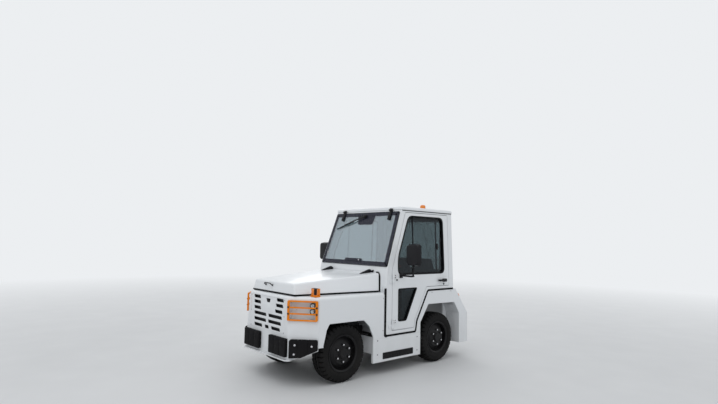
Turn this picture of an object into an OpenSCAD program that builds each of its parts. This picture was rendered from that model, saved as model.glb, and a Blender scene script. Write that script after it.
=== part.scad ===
// Electric airport baggage tug with a closed two-seat cab.
// X is across the vehicle (+X is its left side), -Y is its front, +Z is up, and the
// ground is at z = 0 under the middle of the whole length. All sizes are in millimetres.

/* [Overall] */
// From the faces of the front pads to the middle of the front wheels
front_overhang = 650; // [630:5:700]
// From the middle of the front wheels to the middle of the rear wheels
wheelbase = 1640; // [1600:10:1760]
// From the middle of the rear wheels to the rear panel
rear_overhang = 628; // [600:5:700]
// From the rear panel to the end of the tow hitch
hitch_reach = 162; // [130:2:220]
// Width over the lower body sides
body_w = 1380; // [1360:4:1440]

/* [Wheels] */
// Outer radius of a tyre
tyre_r = 325; // [310:1:330]
// Width of a tyre
tyre_w = 195; // [180:1:200]
// From the body side in to the outer face of a tyre
tyre_inset = 22; // [18:1:40]
// Radius of the rim's flange
rim_r = 207; // [195:1:215]
// Radius of the circle of wheel nuts
nut_circle_r = 94; // [80:1:105]
// Number of wheel nuts
nuts = 6; // [5:1:8]

/* [Front end] */
// Height of the bumper's lower edge
bumper_low_z = 300; // [280:5:330]
// Height of the bumper's upper edge
bumper_top_z = 540; // [520:5:570]
// Height of the flat shoulder that the bonnet lies over
shoulder_z = 970; // [950:5:1000]
// Radius that rounds the shoulder's outer edge
shoulder_r = 32; // [20:1:45]
// Half width of the bumper's front face
bumper_corner_x = 448; // [430:2:470]
// Half width of the front face just below the bonnet
upper_corner_x = 397; // [380:2:430]
// From the pads' faces back to where the sloping corner meets the side
corner_depth = 272; // [250:2:300]
// Thickness of a rubber pad
pad_t = 38; // [30:1:50]
// Thickness of the body's plates
plate_t = 6; // [5:0.5:8]
// Thickness of the bumper's plate
bumper_t = 12; // [8:1:16]
// Width of the folded lip round a wheel arch
arch_lip = 18; // [12:1:20]

/* [Bonnet] */
// Half width of the bonnet's lower edge at its front
bonnet_front_x = 462; // [440:2:480]
// Half width of the bonnet's lower edge at its rear
bonnet_rear_x = 590; // [570:2:600]
// How far the bonnet's sides lean in
bonnet_lean = 40; // [20:2:60]
// How far the bonnet's rear edge leans back over its height
bonnet_rake = 32; // [24:1:34]
// Height of the bonnet's top at its front lip
bonnet_front_z = 1102; // [1080:2:1130]
// Height of the bonnet's top at its rear
bonnet_rear_z = 1200; // [1180:2:1230]
// Gap under the bonnet, filled by its seal
bonnet_gap = 8; // [6:1:12]

/* [Cab] */
// From the middle of the front wheels to the cab's lower front edge
cab_setback = 622; // [610:2:650]
// Length of the cab at its roof line, from that edge to its rear wall
cab_l = 1318; // [1300:2:1360]
// Height of the cab's lower edge
cab_low_z = 455; // [450:1:470]
// Height of the line where the cab's sides begin to lean in
waist_z = 1015; // [1005:1:1030]
// Angle at which the upper sides lean in
cab_lean = 2.3; // [1.5:0.1:3]
// Height of the cab sides' top edge
cab_top_z = 2005; // [1980:5:2050]
// Thickness of the roof panel
roof_t = 45; // [35:1:60]
// Height of the windscreen's lower edge
screen_low_z = 1283; // [1270:1:1300]
// Thickness of the cab's walls and posts
post_t = 60; // [50:1:70]
// Thickness of a door
door_t = 40; // [30:1:45]
// Gap round a door
door_gap = 6; // [5:0.5:8]
// Thickness of the window glass
glass_t = 6; // [4:0.5:8]

/* [Inside] */
// Height of the cab floor's upper face
floor_z = 530; // [526:1:545]
// Middle of the driver's place, left of the vehicle's middle
driver_x = 232; // [224:2:236]
// Width of a seat
seat_w = 416; // [400:2:420]
// From the vehicle's middle to the walls that house the rear wheels
well_x = 455; // [453:1:458]
// Radius of the steering wheel
helm_r = 190; // [170:2:205]
// Angle of the steering column from upright
helm_tilt = 38; // [25:1:45]

/* [Chassis] */
// Height of the chassis rails' upper face
rail_top_z = 520; // [510:1:522]
// Height of a chassis rail
rail_h = 100; // [80:2:110]
// Width of a chassis rail
rail_w = 60; // [40:2:60]
// From the vehicle's middle to a rail's outer side
rail_x = 280; // [260:2:281]
// From the vehicle's middle to a kingpin
kingpin_x = 480; // [476:1:490]
// Radius of a kingpin
kingpin_r = 14; // [12:0.5:18]
// Radius of a stub axle
stub_r = 30; // [24:1:34]
// Length of a steering arm
steer_arm = 150; // [130:2:160]
// Clearance all round a turning shaft
run_gap = 0.05; // [0.03:0.01:0.1]
// Gap between a moving piece and what carries it
seat_gap = 0.3; // [0.2:0.05:0.5]

/* [Tow hitch] */
// Radius of the hitch pin
pin_r = 15; // [12:0.5:18]
// Height of the hitch's lowest plate
hitch_low_z = 300; // [280:5:320]
// Clear height between the hitch's plates
jaw_h = 60; // [50:1:70]
// Thickness of a hitch plate
jaw_t = 20; // [16:1:25]

/* [Hidden] */
$fn = 48;
e = 1;

// Places along the vehicle
overall_l = front_overhang + wheelbase + rear_overhang + hitch_reach;
front_y = -overall_l / 2;
axle_f_y = front_y + front_overhang;
axle_r_y = axle_f_y + wheelbase;
rear_y = axle_r_y + rear_overhang;
bumper_y = front_y + pad_t;
corner_y = front_y + corner_depth;
deck_edge_y = axle_r_y + 350;
deck_foot_z = 630;
cab_y = axle_f_y + cab_setback;
cab_rear_y = cab_y + cab_l;
half_w = body_w / 2;

// Wheels
wheel_x = half_w - tyre_inset - tyre_w / 2;
hub_z = tyre_r;
stub_end_x = half_w - tyre_inset - 20;

// Cab outline
screen_foot_y = cab_y + 46;
screen_rise = 70.5;
screen_top_y = screen_foot_y + (cab_top_z - screen_low_z) / tan(screen_rise);
cab_step = [[542, cab_low_z], [567, 590], [780, 965]];
arch_front = [[-315, 430], [-269, 614], [-231, 675], [277, 672], [364, 595], [431, 464], [431, 0]];
arch_rear = [[-378, 0], [-378, 571], [-366, 573], [-222, 782], [330, 772], [438, 615], [438, 0]];
shelf_z = cab_step[2][1];
lean_pivot = [half_w, 0, waist_z];

paint = [0.93, 0.94, 0.95];
rubber = [0.06, 0.06, 0.07];
steel = [0.16, 0.16, 0.17];

module both_sides() {
    children();
    mirror([1, 0, 0]) children();
}

// A flat outline drawn in (y, z) becomes a slab that reaches from x0 to x1
module slab_x(x0, x1) {
    translate([x0, 0, 0]) rotate([90, 0, 90]) linear_extrude(x1 - x0) children();
}

// A rod along X
module rod_x(r, x0, x1, y, z) {
    translate([x0, y, z]) rotate([0, 90, 0]) cylinder(r = r, h = x1 - x0);
}

// A box from its two opposite corners
module block(a, b) {
    translate(a) cube(b - a);
}

module band_below(z) {
    translate([-5000, z - 5000]) square([10000, 5000]);
}

module band_above(z) {
    translate([-5000, z]) square([10000, 5000]);
}

// Places what is drawn for the upper side on the side's leaning plane
module lean() {
    translate(lean_pivot) rotate([0, -cab_lean, 0]) translate(-lean_pivot) children();
}

slab_lap = 0.4;
wall_x = half_w - post_t - slab_lap;

// A side outline becomes a slab that follows the upright and the leaning part of the cab's side.
// The upright part is larger by the lap, so that the leaning part stands on it.
module side_slab(inset, thick, lap = slab_lap) {
    slab_x(half_w - inset - thick - lap, half_w - inset + (inset > 0 ? lap : 0))
        intersection() { children(); band_below(waist_z); }
    lean() slab_x(half_w - (inset + thick) * cos(cab_lean), half_w - inset * cos(cab_lean))
        intersection() { offset(delta = -lap / 4) children(); band_above(waist_z); }
}

module rounded(r) {
    offset(r = r, $fn = 32) offset(delta = -r) children();
}

// Front end
function corner_x(z) = bumper_corner_x + (upper_corner_x - bumper_corner_x)
    * max(0, z - bumper_top_z) / (shoulder_z - bumper_top_z);

module nose_plan(z, inset, rear) {
    x = corner_x(z);
    slope = atan2(corner_y - bumper_y, half_w - x);
    side_cut = inset * tan(slope / 2);
    front_cut = inset * tan((90 - slope) / 2);
    polygon([[-x + side_cut, bumper_y + inset], [x - side_cut, bumper_y + inset],
        [half_w - inset, corner_y + front_cut], [half_w - inset, rear],
        [-half_w + inset, rear], [-half_w + inset, corner_y + front_cut]]);
}

// Columns: height below the shoulder and inset of the outline, both as shares of the radius
shoulder_steps = [[1, 0], [0.62, 0.08], [0.29, 0.29], [0.08, 0.62], [0, 1]];

module nose_block(inset, low, rear) {
    hull() {
        translate([0, 0, low]) linear_extrude(e) nose_plan(low, inset, rear);
        for (s = shoulder_steps) {
            z = shoulder_z - inset - s[0] * shoulder_r;
            translate([0, 0, z - 0.1]) linear_extrude(0.1) nose_plan(z, inset + s[1] * shoulder_r, rear);
        }
    }
}

module arch(points, y) {
    rounded(28) polygon([for (p = points) [p[0] + y, p[1]]]);
}

// The bonnet's outline in plan at its lower edge
bonnet_y = bumper_y + 64;
bonnet_rear_y = cab_y - 10;
bonnet_top_y = bonnet_rear_y + bonnet_rake;
lip_set = 10;
lip_round = 14;
function bonnet_x(y) = bonnet_front_x + (bonnet_rear_x - bonnet_front_x) * (y - bonnet_y) / (bonnet_rear_y - bonnet_y);
bonnet_low_z = shoulder_z + bonnet_gap;

module bonnet_plan(inset) {
    polygon([[-bonnet_front_x + inset, bonnet_y + inset], [bonnet_front_x - inset, bonnet_y + inset],
        [bonnet_rear_x - inset, bonnet_rear_y - inset], [-bonnet_rear_x + inset, bonnet_rear_y - inset]]);
}

// Wheel arch panels beside the bonnet
module fender_side() {
    difference() {
        polygon([[corner_y, 430], [axle_f_y, 430], [cab_y - 4, 430], [cab_y - 4, shoulder_z - shoulder_r],
            [corner_y, shoulder_z - shoulder_r]]);
        arch(arch_front, axle_f_y);
    }
}

module arch_band(points, y, low, front, rear) {
    intersection() {
        difference() {
            offset(delta = plate_t) arch(points, y);
            arch(points, y);
        }
        translate([front, low]) square([rear - front, 2000]);
    }
}

lamp_z = 825;
lamp_h = 190;
lamp_l = 300;
lamp_slope = atan2(corner_y - bumper_y, half_w - corner_x(lamp_z));
lamp_start = 34;

// Local X runs along the sloping corner from its front edge, -Y points outwards
module at_corner(z) {
    translate([corner_x(z), bumper_y, 0])
        rotate([0, 0, atan2(corner_y - bumper_y, half_w - corner_x(z))]) children();
}

module lamp_recess(grow, depth) {
    at_corner(lamp_z) translate([lamp_start - grow, -20, lamp_z - lamp_h / 2 - grow])
        cube([lamp_l + 2 * grow, depth + 20, lamp_h + 2 * grow]);
}

module front_body() {
    color(paint) {
        difference() {
            nose_block(0, bumper_top_z, cab_y - 4);
            difference() {
                nose_block(plate_t, bumper_top_z - 2 * e, cab_y + e);
                both_sides() lamp_recess(plate_t, 60 + plate_t);
            }
            translate([0, 0, shoulder_z - 100]) linear_extrude(200) bonnet_plan(30);
            both_sides() lamp_recess(0, 60);
            both_sides() guard_studs(plate_t + e);
            both_sides() slab_x(half_w - 60, half_w + e) arch(arch_front, axle_f_y);
            block([-panel_x, bumper_y - e, panel_low_z], [panel_x, bumper_y + plate_t + e, panel_top_z]);
        }
        both_sides() slab_x(half_w - plate_t, half_w) fender_side();
        both_sides() slab_x(half_w - arch_lip, half_w)
            arch_band(arch_front, axle_f_y, 430, corner_y, cab_y - 4);
    }
}

panel_x = 372;
panel_low_z = bumper_top_z + 14;
panel_top_z = shoulder_z - shoulder_r;

// Columns: lower edge, and then from and to for each slot of the row
slot_h = 34;
slot_lean = 12;
slot_rows = [
    [905, [[-335, -205], [165, 335]]],
    [850, [[-335, -205], [150, 325]]],
    [795, [[-335, -205], [135, 315]]],
    [740, [[-335, -75], [-30, 305]]],
    [685, [[-335, -85], [-40, 295]]],
    [630, [[-335, -170], [-115, -20], [35, 285]]]];

module slot(x0, x1, z) {
    translate([0, z]) rounded(10)
        polygon([[x0 + slot_lean, 0], [x1, 0], [x1 - slot_lean, slot_h], [x0, slot_h]]);
}

// The panel fills its opening and hangs on a flange behind the front plate
panel_flange = 12;
panel_flange_t = 4;

module grille_panel() {
    w = 2 * panel_x;
    h = panel_top_z - panel_low_z;
    color(paint) translate([0, bumper_y + plate_t, 0]) rotate([90, 0, 0]) {
        linear_extrude(plate_t) difference() {
            translate([-panel_x + e, panel_low_z + e]) square([w - 2 * e, h - 2 * e]);
            for (row = slot_rows) for (s = row[1]) slot(s[0], s[1], row[0] - slot_h);
            translate([-20, 800]) polygon([[-44, 76], [48, 76], [30, 20], [-26, 20]]);
        }
        translate([-panel_x, panel_low_z, -panel_flange_t]) linear_extrude(panel_flange_t) difference() {
            translate([-panel_flange, -panel_flange]) square([w + 2 * panel_flange, h]);
            translate([panel_flange, panel_flange]) square([w - 2 * panel_flange, h]);
        }
    }
}

module front_bumper() {
    color(paint) difference() {
        union() {
            translate([0, 0, bumper_low_z]) linear_extrude(bumper_top_z - bumper_low_z)
                nose_plan(bumper_top_z, 0, corner_y);
            translate([0, 0, bumper_low_z - bumper_t]) linear_extrude(bumper_t) lip_plan();
        }
        translate([0, 0, bumper_low_z]) linear_extrude(bumper_top_z)
            nose_plan(bumper_top_z, bumper_t, corner_y + e);
        both_sides() at_corner(bumper_top_z) translate([60, -100, bumper_low_z - 120])
            rotate([0, -20, 0]) cube([500, 200, 112]);
    }
}

module lip_plan() {
    x = bumper_corner_x;
    polygon([[-x, front_y + 2], [x, front_y + 2], [x + 72, bumper_y + 44], [x + 40, bumper_y + 90],
        [-x - 40, bumper_y + 90], [-x - 72, bumper_y + 44]]);
}

pad_low_z = 328;
pad_top_z = 522;
pad_in_x = 106;

module pad_form(w, h) {
    rotate([90, 0, 0]) linear_extrude(pad_t) rounded(16) square([w, h]);
}

module bumper_pads() {
    color(rubber) both_sides() {
        translate([pad_in_x, bumper_y, pad_low_z]) pad_form(bumper_corner_x - pad_in_x, pad_top_z - pad_low_z);
        at_corner(bumper_top_z) translate([16, 0, 0]) rotate([90, 0, 0]) linear_extrude(pad_t)
            rounded(14) polygon([[0, pad_low_z - 6], [96, pad_low_z - 6], [292, 392], [292, pad_top_z - 8],
                [270, pad_top_z], [16, pad_top_z], [0, pad_top_z - 18]]);
    }
}

guard_t = 18;
guard_gap = 14;

guard_stud_r = 7;

module guard_studs(inward) {
    at_corner(lamp_z) translate([lamp_start - 22, 0, lamp_z - lamp_h / 2 - 14])
        for (x = [10, lamp_l + 30]) for (z = [75, 145])
            translate([x, inward, z]) rotate([90, 0, 0]) cylinder(r = guard_stud_r, h = inward + guard_gap + e);
}

module lamp_guards() {
    color([0.95, 0.5, 0.05]) both_sides() {
        at_corner(lamp_z) translate([lamp_start - 22, -guard_gap, lamp_z - lamp_h / 2 - 14])
            rotate([90, 0, 0]) linear_extrude(guard_t) difference() {
                rounded(12) square([lamp_l + 40, lamp_h + 28]);
                for (i = [0 : 2]) translate([24, 16 + i * 67]) square([lamp_l - 8, 52]);
            }
        guard_studs(plate_t);
    }
}

module headlamps() {
    color([0.1, 0.1, 0.1]) both_sides() at_corner(lamp_z)
        for (z = [-46, 42]) translate([lamp_start + lamp_l - 54, 60, lamp_z + z]) rotate([90, 0, 0]) {
            cylinder(r = 39, h = 34);
            translate([0, 0, 34]) cylinder(r1 = 36, r2 = 24, h = 12);
        }
}

deck_slope = atan2(shelf_z - 5 - deck_foot_z, rear_y - 20 - deck_edge_y);

module turn_lamps() {
    color([1, 0.45, 0.05]) both_sides() {
        block([half_w - 140, corner_y - 26, shoulder_z], [half_w - 45, corner_y + 44, shoulder_z + 92]);
        translate([half_w - 50, deck_edge_y, shelf_z - 5]) rotate([-deck_slope, 0, 0])
            translate([0, 110, 0]) cube([36, 60, 30]);
    }
}

// Bonnet: a lid with a level lower edge, sloping sides and a rising top
// Columns: how far below the top, and how far in from the edge
lid_steps = [[lip_round, 0], [lip_round * 0.29, lip_round * 0.29], [0, lip_round]];

module bonnet_form(inset, drop) {
    hull() {
        translate([0, 0, bonnet_low_z - drop]) linear_extrude(e) bonnet_plan(inset);
        translate([0, 0, bonnet_low_z + 60]) linear_extrude(e) bonnet_plan(inset + bonnet_lean * 0.28);
        for (s = lid_steps) {
            x0 = bonnet_front_x - bonnet_lean - inset - s[1];
            x1 = bonnet_rear_x - bonnet_lean - inset - s[1];
            translate([-x0, bonnet_y + inset + lip_set + s[1], bonnet_front_z - inset - s[0] - 0.1])
                cube([2 * x0, e, 0.1]);
            translate([-x1, bonnet_top_y - inset - e, bonnet_rear_z - inset - s[0] - 0.1])
                cube([2 * x1, e, 0.1]);
        }
    }
}

// Height of the bonnet's top at a place along the vehicle
function bonnet_top(y) = bonnet_front_z + (y - lid_front_y) * (bonnet_rear_z - bonnet_front_z)
    / (bonnet_top_y - e - lid_front_y);
lid_front_y = bonnet_y + lip_set + lip_round + e;

module bonnet() {
    color(paint) difference() {
        bonnet_form(0, 0);
        bonnet_form(plate_t, 3 * e);
    }
}

bonnet_axis_y = bonnet_top_y - 6;
bonnet_axis_z = bonnet_rear_z + 14;
bonnet_hinge_x = 410;
hinge_pin_r = 6;
hinge_eye_r = 12;
strap_l = 190;
strap_t = 8;
strap_w = 28;
grip_x = -85;
grip_l = 150;
grip_z = bonnet_front_z - 34;
grip_r = 5;

// Where the bonnet's front face is at a height
function bonnet_front(z) = bonnet_y + lip_set * (z - bonnet_low_z - e) / (bonnet_front_z - lip_round - bonnet_low_z - e);

module bonnet_fittings() {
    color(rubber) {
        both_sides() difference() {
            union() {
                rod_x(hinge_eye_r, bonnet_hinge_x - strap_w - e, bonnet_hinge_x - e, bonnet_axis_y, bonnet_axis_z);
                slab_x(bonnet_hinge_x - strap_w - e, bonnet_hinge_x - e) polygon([
                    [bonnet_axis_y, bonnet_axis_z + hinge_eye_r - e], [bonnet_axis_y, bonnet_axis_z - 4],
                    [bonnet_axis_y - 6, bonnet_top(bonnet_axis_y - 6) + seat_gap],
                    [bonnet_top_y - strap_l, bonnet_top(bonnet_top_y - strap_l) + seat_gap],
                    [bonnet_top_y - strap_l, bonnet_top(bonnet_top_y - strap_l) + strap_t],
                    [bonnet_top_y - 30, bonnet_top(bonnet_top_y - 30) + strap_t + 4]]);
            }
            rod_x(hinge_pin_r + run_gap, bonnet_hinge_x - 40, bonnet_hinge_x + 10, bonnet_axis_y, bonnet_axis_z);
        }
        translate([grip_x, bonnet_front(grip_z - grip_r) - 0.1, grip_z]) rotate([90, 0, 0]) {
            for (x = [-grip_l / 2, grip_l / 2]) translate([x, 0, 0]) cylinder(r = grip_r, h = 26);
            translate([-grip_l / 2 - 8, 0, 26]) rotate([0, 90, 0]) cylinder(r = grip_r + 1, h = grip_l + 16);
        }
    }
}

// Cab
door_axis_x = half_w + 14;
door_axis_y = cab_y + 118;
door_hinge_z = [585, 1135];
door_front_y = door_axis_y;

module cab_outline() {
    polygon([[cab_y, cab_low_z], [cab_y + cab_step[0][0], cab_low_z], [cab_y + cab_step[1][0], cab_step[1][1]],
        [cab_y + cab_step[2][0], shelf_z], [cab_rear_y, shelf_z], [cab_rear_y, cab_top_z],
        [screen_top_y, cab_top_z], [screen_foot_y, screen_low_z], [cab_y + 8, waist_z + 35]]);
}

module door_outline(grow) {
    offset(delta = grow) rounded(14) polygon([[door_front_y, 508], [cab_y + 515, 508],
        [cab_y + 532, 612], [cab_y + 756, waist_z - 1], [cab_rear_y - 94, waist_z - 1],
        [cab_rear_y - 94, cab_top_z - 32], [screen_top_y + 74, cab_top_z - 32],
        [door_front_y, screen_low_z - 50]]);
}

module upper_window() {
    rounded(60) polygon([[cab_y + 273, screen_low_z - 98], [cab_rear_y - 192, screen_low_z - 98],
        [cab_rear_y - 206, cab_top_z - 82], [cab_y + 444, cab_top_z - 82]]);
}

module lower_window() {
    rounded(20) polygon([[cab_y + 226, waist_z - 12], [cab_y + 560, waist_z - 12],
        [cab_y + 366, 612], [cab_y + 229, 612]]);
}

module cab_frame() {
    color(paint) {
        both_sides() {
            side_slab(0, post_t) difference() {
                cab_outline();
                door_outline(door_gap);
            }
            side_slab(door_t + door_gap, post_t - door_t - door_gap) difference() {
                cab_outline();
                door_outline(-16);
            }
            slab_x(well_x, half_w - post_t + e) polygon([
                [cab_y + cab_step[0][0] - 6, cab_low_z], [cab_y + cab_step[0][0], cab_low_z],
                [cab_y + cab_step[1][0], cab_step[1][1]], [cab_y + cab_step[2][0], shelf_z],
                [cab_rear_y, shelf_z], [cab_rear_y, shelf_z + 6],
                [cab_y + cab_step[2][0] - 4, shelf_z + 6], [cab_y + cab_step[1][0] - 6, cab_step[1][1] + 1]]);
            block([well_x - 6, cab_y + cab_step[0][0] - 6, floor_z], [well_x, cab_rear_y, shelf_z + 6]);
        }
        difference() {
            block([-half_w + post_t - e, cab_y, cab_low_z], [half_w - post_t + e, cab_y + 6, waist_z]);
            block([-rail_x - e, cab_y - e, cab_low_z - e], [rail_x + e, cab_y + 6 + e, rail_top_z]);
        }
        slab_x(-half_w + post_t - e, half_w - post_t + e) polygon([[cab_y, waist_z - 30], [cab_y, waist_z + 2],
            [screen_foot_y, screen_low_z], [screen_foot_y + 50, screen_low_z + 8],
            [screen_foot_y + 44, screen_low_z - 24], [cab_y + 14, waist_z - 30]]);
        slab_x(-half_w + post_t + 34, half_w - post_t - 34) polygon([[screen_top_y - 24, cab_top_z - 68],
            [screen_top_y, cab_top_z], [screen_top_y + 80, cab_top_z], [screen_top_y + 80, cab_top_z - 68]]);
        difference() {
            block([-half_w + post_t + 34, cab_rear_y - 50, shelf_z], [half_w - post_t - 34, cab_rear_y, cab_top_z]);
            rear_opening(e);
        }
        block([-half_w + post_t - e, cab_rear_y - 50, shelf_z], [half_w - post_t + e, cab_rear_y, waist_z]);
        block([-well_x, cab_rear_y - 50, floor_z], [well_x, cab_rear_y, shelf_z + e]);
    }
}

module rear_opening(over) {
    translate([0, cab_rear_y + over, 0]) rotate([90, 0, 0]) linear_extrude(50 + 2 * over)
        rounded(60) translate([-rear_window_x, screen_low_z - 98])
            square([2 * rear_window_x, cab_top_z - 82 - (screen_low_z - 98)]);
}

rear_window_x = 480;

module rear_window() {
    color([0.3, 0.36, 0.38, 0.5]) translate([0, cab_rear_y - 20, 0]) rotate([90, 0, 0]) linear_extrude(glass_t)
        offset(delta = -seat_gap) rounded(60) translate([-rear_window_x, screen_low_z - 98])
            square([2 * rear_window_x, cab_top_z - 82 - (screen_low_z - 98)]);
}

module cab_roof() {
    x = half_w - 28;
    front = screen_top_y - 6;
    color(paint) hull() {
        for (s = [[0, 0], [0.55, 0], [0.85, 0.25], [1, 0.8]])
            translate([-x + 22 * s[1], front + 22 * s[1], cab_top_z + s[0] * roof_t - (s[0] > 0 ? 0.1 : 0)])
                cube([2 * (x - 22 * s[1]), cab_rear_y + 10 - front - 44 * s[1], 0.1]);
    }
}

beacon_y = cab_rear_y - 150;

module roof_beacon() {
    color([1, 0.5, 0.05]) translate([250, beacon_y, cab_top_z + roof_t]) {
        cylinder(r = 52, h = 18);
        translate([0, 0, 18]) cylinder(r1 = 44, r2 = 36, h = 72);
    }
}

// Local X across, Y up along the windscreen's plane and Z forward out of it
module at_screen() {
    translate([0, screen_foot_y, screen_low_z]) rotate([screen_rise, 0, 0]) children();
}

screen_h = (cab_top_z - screen_low_z) / sin(screen_rise) - 26;

module windscreen() {
    color([0.3, 0.36, 0.38, 0.5]) at_screen() linear_extrude(10) rounded(22)
        polygon([[-half_w + 28, 0], [half_w - 28, 0], [half_w - 58, screen_h], [-half_w + 58, screen_h]]);
}

// Where the wiper's motor shaft comes through the windscreen
wiper_at = [16, screen_h - 62];

module windscreen_wiper() {
    color(rubber) at_screen() translate([wiper_at[0], wiper_at[1], 0]) {
        translate([0, 0, 10]) cylinder(r = 26, h = 34);
        translate([0, 0, 26]) rotate([0, 0, 196]) {
            translate([0, -9, 0]) cube([380, 18, 12]);
            translate([250, -6, -14]) cube([330, 10, 16]);
        }
    }
}

module cab_floor() {
    step_y = cab_y + cab_step[0][0] - 6;
    color([0.2, 0.2, 0.2]) {
        block([-wall_x, cab_y + 6, rail_top_z], [wall_x, step_y, floor_z]);
        block([-well_x, step_y - e, rail_top_z], [well_x, cab_rear_y, floor_z]);
    }
}

dash_y = cab_y + 250;

module dashboard() {
    color([0.12, 0.12, 0.13]) slab_x(-half_w + post_t + 16, half_w - post_t - 16) rounded(14)
        polygon([[cab_y + 58, waist_z], [cab_y + 94, screen_low_z - 36], [cab_y + 190, screen_low_z - 28],
            [dash_y, screen_low_z - 90], [dash_y - 30, screen_low_z - 230], [cab_y + 110, waist_z - 20]]);
    color([0.12, 0.12, 0.13]) for (x = [-1, 1])
        translate([x * (half_w - post_t - 120) - 20, 0, 0]) slab_x(0, 40) polygon([[cab_y + 6, waist_z - 36],
            [cab_y + 70, waist_z], [cab_y + 110, waist_z], [cab_y + 110, waist_z - 50], [cab_y + 6, waist_z - 120]]);
}

// The steering wheel's middle
helm_y = dash_y + 150;
helm_z = screen_low_z - 78;

module at_helm() {
    translate([driver_x, helm_y, helm_z]) rotate([-helm_tilt, 0, 0]) children();
}

column_l = 250;
column_r = 36;
helm_shaft_r = 11;
column_w = 90;
column_foot = [helm_y - column_l * sin(helm_tilt), helm_z - column_l * cos(helm_tilt)];

module steering_column() {
    color(steel) at_helm() {
        translate([0, 0, -column_l]) cylinder(r = column_r, h = column_l - 26);
        translate([0, 0, -30]) cylinder(r = helm_shaft_r, h = 40);
    }
    color(steel) translate([driver_x, column_foot[0], 0]) slab_x(-column_w / 2, column_w / 2) polygon([
        [-8, column_foot[1] + 12], [17, column_foot[1] + 2], [42, column_foot[1] - 23],
        [32, floor_z], [-48, floor_z], [-38, column_foot[1] - 23]]);
}

module steering_wheel() {
    color(rubber) at_helm() {
        difference() {
            translate([0, 0, -20]) cylinder(r = 34, h = 36);
            translate([0, 0, -21]) cylinder(r = helm_shaft_r + run_gap, h = 31 + seat_gap);
        }
        rotate_extrude() translate([helm_r - 14, 0]) circle(r = 14);
        for (a = [30, 150, 270]) rotate([0, 0, a]) translate([30, -14, -8]) cube([helm_r - 40, 28, 10]);
    }
}

pedal_w = 60;
pedal_foot_w = 36;

module pedals() {
    color(steel) for (x = [driver_x - 2 * pedal_w, driver_x + pedal_w]) translate([x, cab_y + 150, floor_z]) {
        translate([(pedal_w - pedal_foot_w) / 2, 0, 0]) cube([pedal_foot_w, 30, 30]);
        translate([0, 0, 16]) rotate([35, 0, 0]) cube([pedal_w, 10, 130]);
    }
}

seat_y = cab_rear_y - 590;
seat_z = floor_z + 290;
seat_xs = [driver_x, -driver_x];

module seat_frames() {
    half = seat_w / 2 - 12;
    color([0.13, 0.13, 0.14]) both_sides()
        block([driver_x - half, seat_y + 40, floor_z], [driver_x + half, seat_y + 420, seat_z]);
}

module cushion(x) {
    color([0.08, 0.08, 0.09]) translate([x - seat_w / 2, seat_y, seat_z + seat_gap]) hull() {
        translate([12, 12, 0]) cube([seat_w - 24, 426, 100]);
        translate([0, 0, 16]) cube([seat_w, 450, 66]);
    }
}

module backrest(x) {
    color([0.08, 0.08, 0.09]) translate([x, seat_y + 392, seat_z + 105.6]) rotate([-6, 0, 0]) hull() {
        translate([-seat_w / 2, 14, 0]) cube([seat_w, 72, 330]);
        translate([-seat_w / 2 + 14, 0, 0]) cube([seat_w - 28, 100, 340]);
        translate([-150, 20, 400]) cube([300, 60, 60]);
    }
}

module driver_cushion() { cushion(seat_xs[0]); }
module driver_backrest() { backrest(seat_xs[0]); }
module passenger_cushion() { cushion(seat_xs[1]); }
module passenger_backrest() { backrest(seat_xs[1]); }

// Doors
module door_panel() {
    side_slab(0, door_t) difference() {
        door_outline(0);
        upper_window();
        lower_window();
    }
}

module door_panes() {
    color([0.3, 0.36, 0.38, 0.5]) side_slab(door_t / 2 - glass_t / 2, glass_t, 0) {
        offset(delta = -seat_gap) upper_window();
        offset(delta = -seat_gap) lower_window();
    }
}

hinge_h = 110;

module door_fittings() {
    color(rubber) {
        for (z = door_hinge_z) difference() {
            union() {
                translate([door_axis_x, door_axis_y, z]) cylinder(r = 11, h = hinge_h / 2 - 1);
                block([half_w + (z > waist_z ? -6 : 0), door_axis_y + 4, z],
                    [half_w + 8, door_axis_y + 62, z + hinge_h / 2 - 1]);
                block([half_w + 1, door_axis_y, z], [half_w + 8, door_axis_y + 10, z + hinge_h / 2 - 1]);
            }
            translate([door_axis_x, door_axis_y, z - e]) cylinder(r = 5 + run_gap, h = hinge_h);
            if (z > waist_z) lean() block([half_w - 40, door_axis_y - 40, waist_z], [half_w, door_axis_y + 90, cab_top_z]);
        }
        lean() {
            rod_y(9, half_w + 42, handle_y - 105, handle_y + 100, handle_z);
            for (y = [handle_y - 85, handle_y + 60])
                block([half_w, y, handle_z - 12], [half_w + 42, y + 24, handle_z + 12]);
        }
    }
}

handle_y = cab_rear_y - 225;
handle_z = waist_z + 70;

module rod_y(r, x, y0, y1, z) {
    translate([x, y1, z]) rotate([90, 0, 0]) cylinder(r = r, h = y1 - y0);
}

mirror_y = cab_y + 268;
mirror_z = 1310;
mirror_reach = 205;

module mirror_set() {
    color(rubber) {
        lean() block([half_w, mirror_y - 25, 1140], [half_w + 16, mirror_y + 25, 1200]);
        rod_x(8, half_w - 2, half_w + mirror_reach, mirror_y, 1170);
        translate([half_w + mirror_reach, mirror_y, 1160]) cylinder(r = 9, h = 200);
        hull() for (x = [-88, 88]) for (z = [12, 238])
            translate([half_w + mirror_reach + x, mirror_y + 24, mirror_z + z]) rotate([90, 0, 0])
                cylinder(r1 = 22, r2 = 12, h = 56, $fn = 16);
    }
}

module door_left() { color(paint) door_panel(); }
module door_right() { color(paint) mirror([1, 0, 0]) door_panel(); }
module door_left_glass() { door_panes(); }
module door_right_glass() { mirror([1, 0, 0]) door_panes(); }
module door_left_fittings() { door_fittings(); }
module door_right_fittings() { mirror([1, 0, 0]) door_fittings(); }
module mirror_left() { mirror_set(); }
module mirror_right() { mirror([1, 0, 0]) mirror_set(); }

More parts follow.
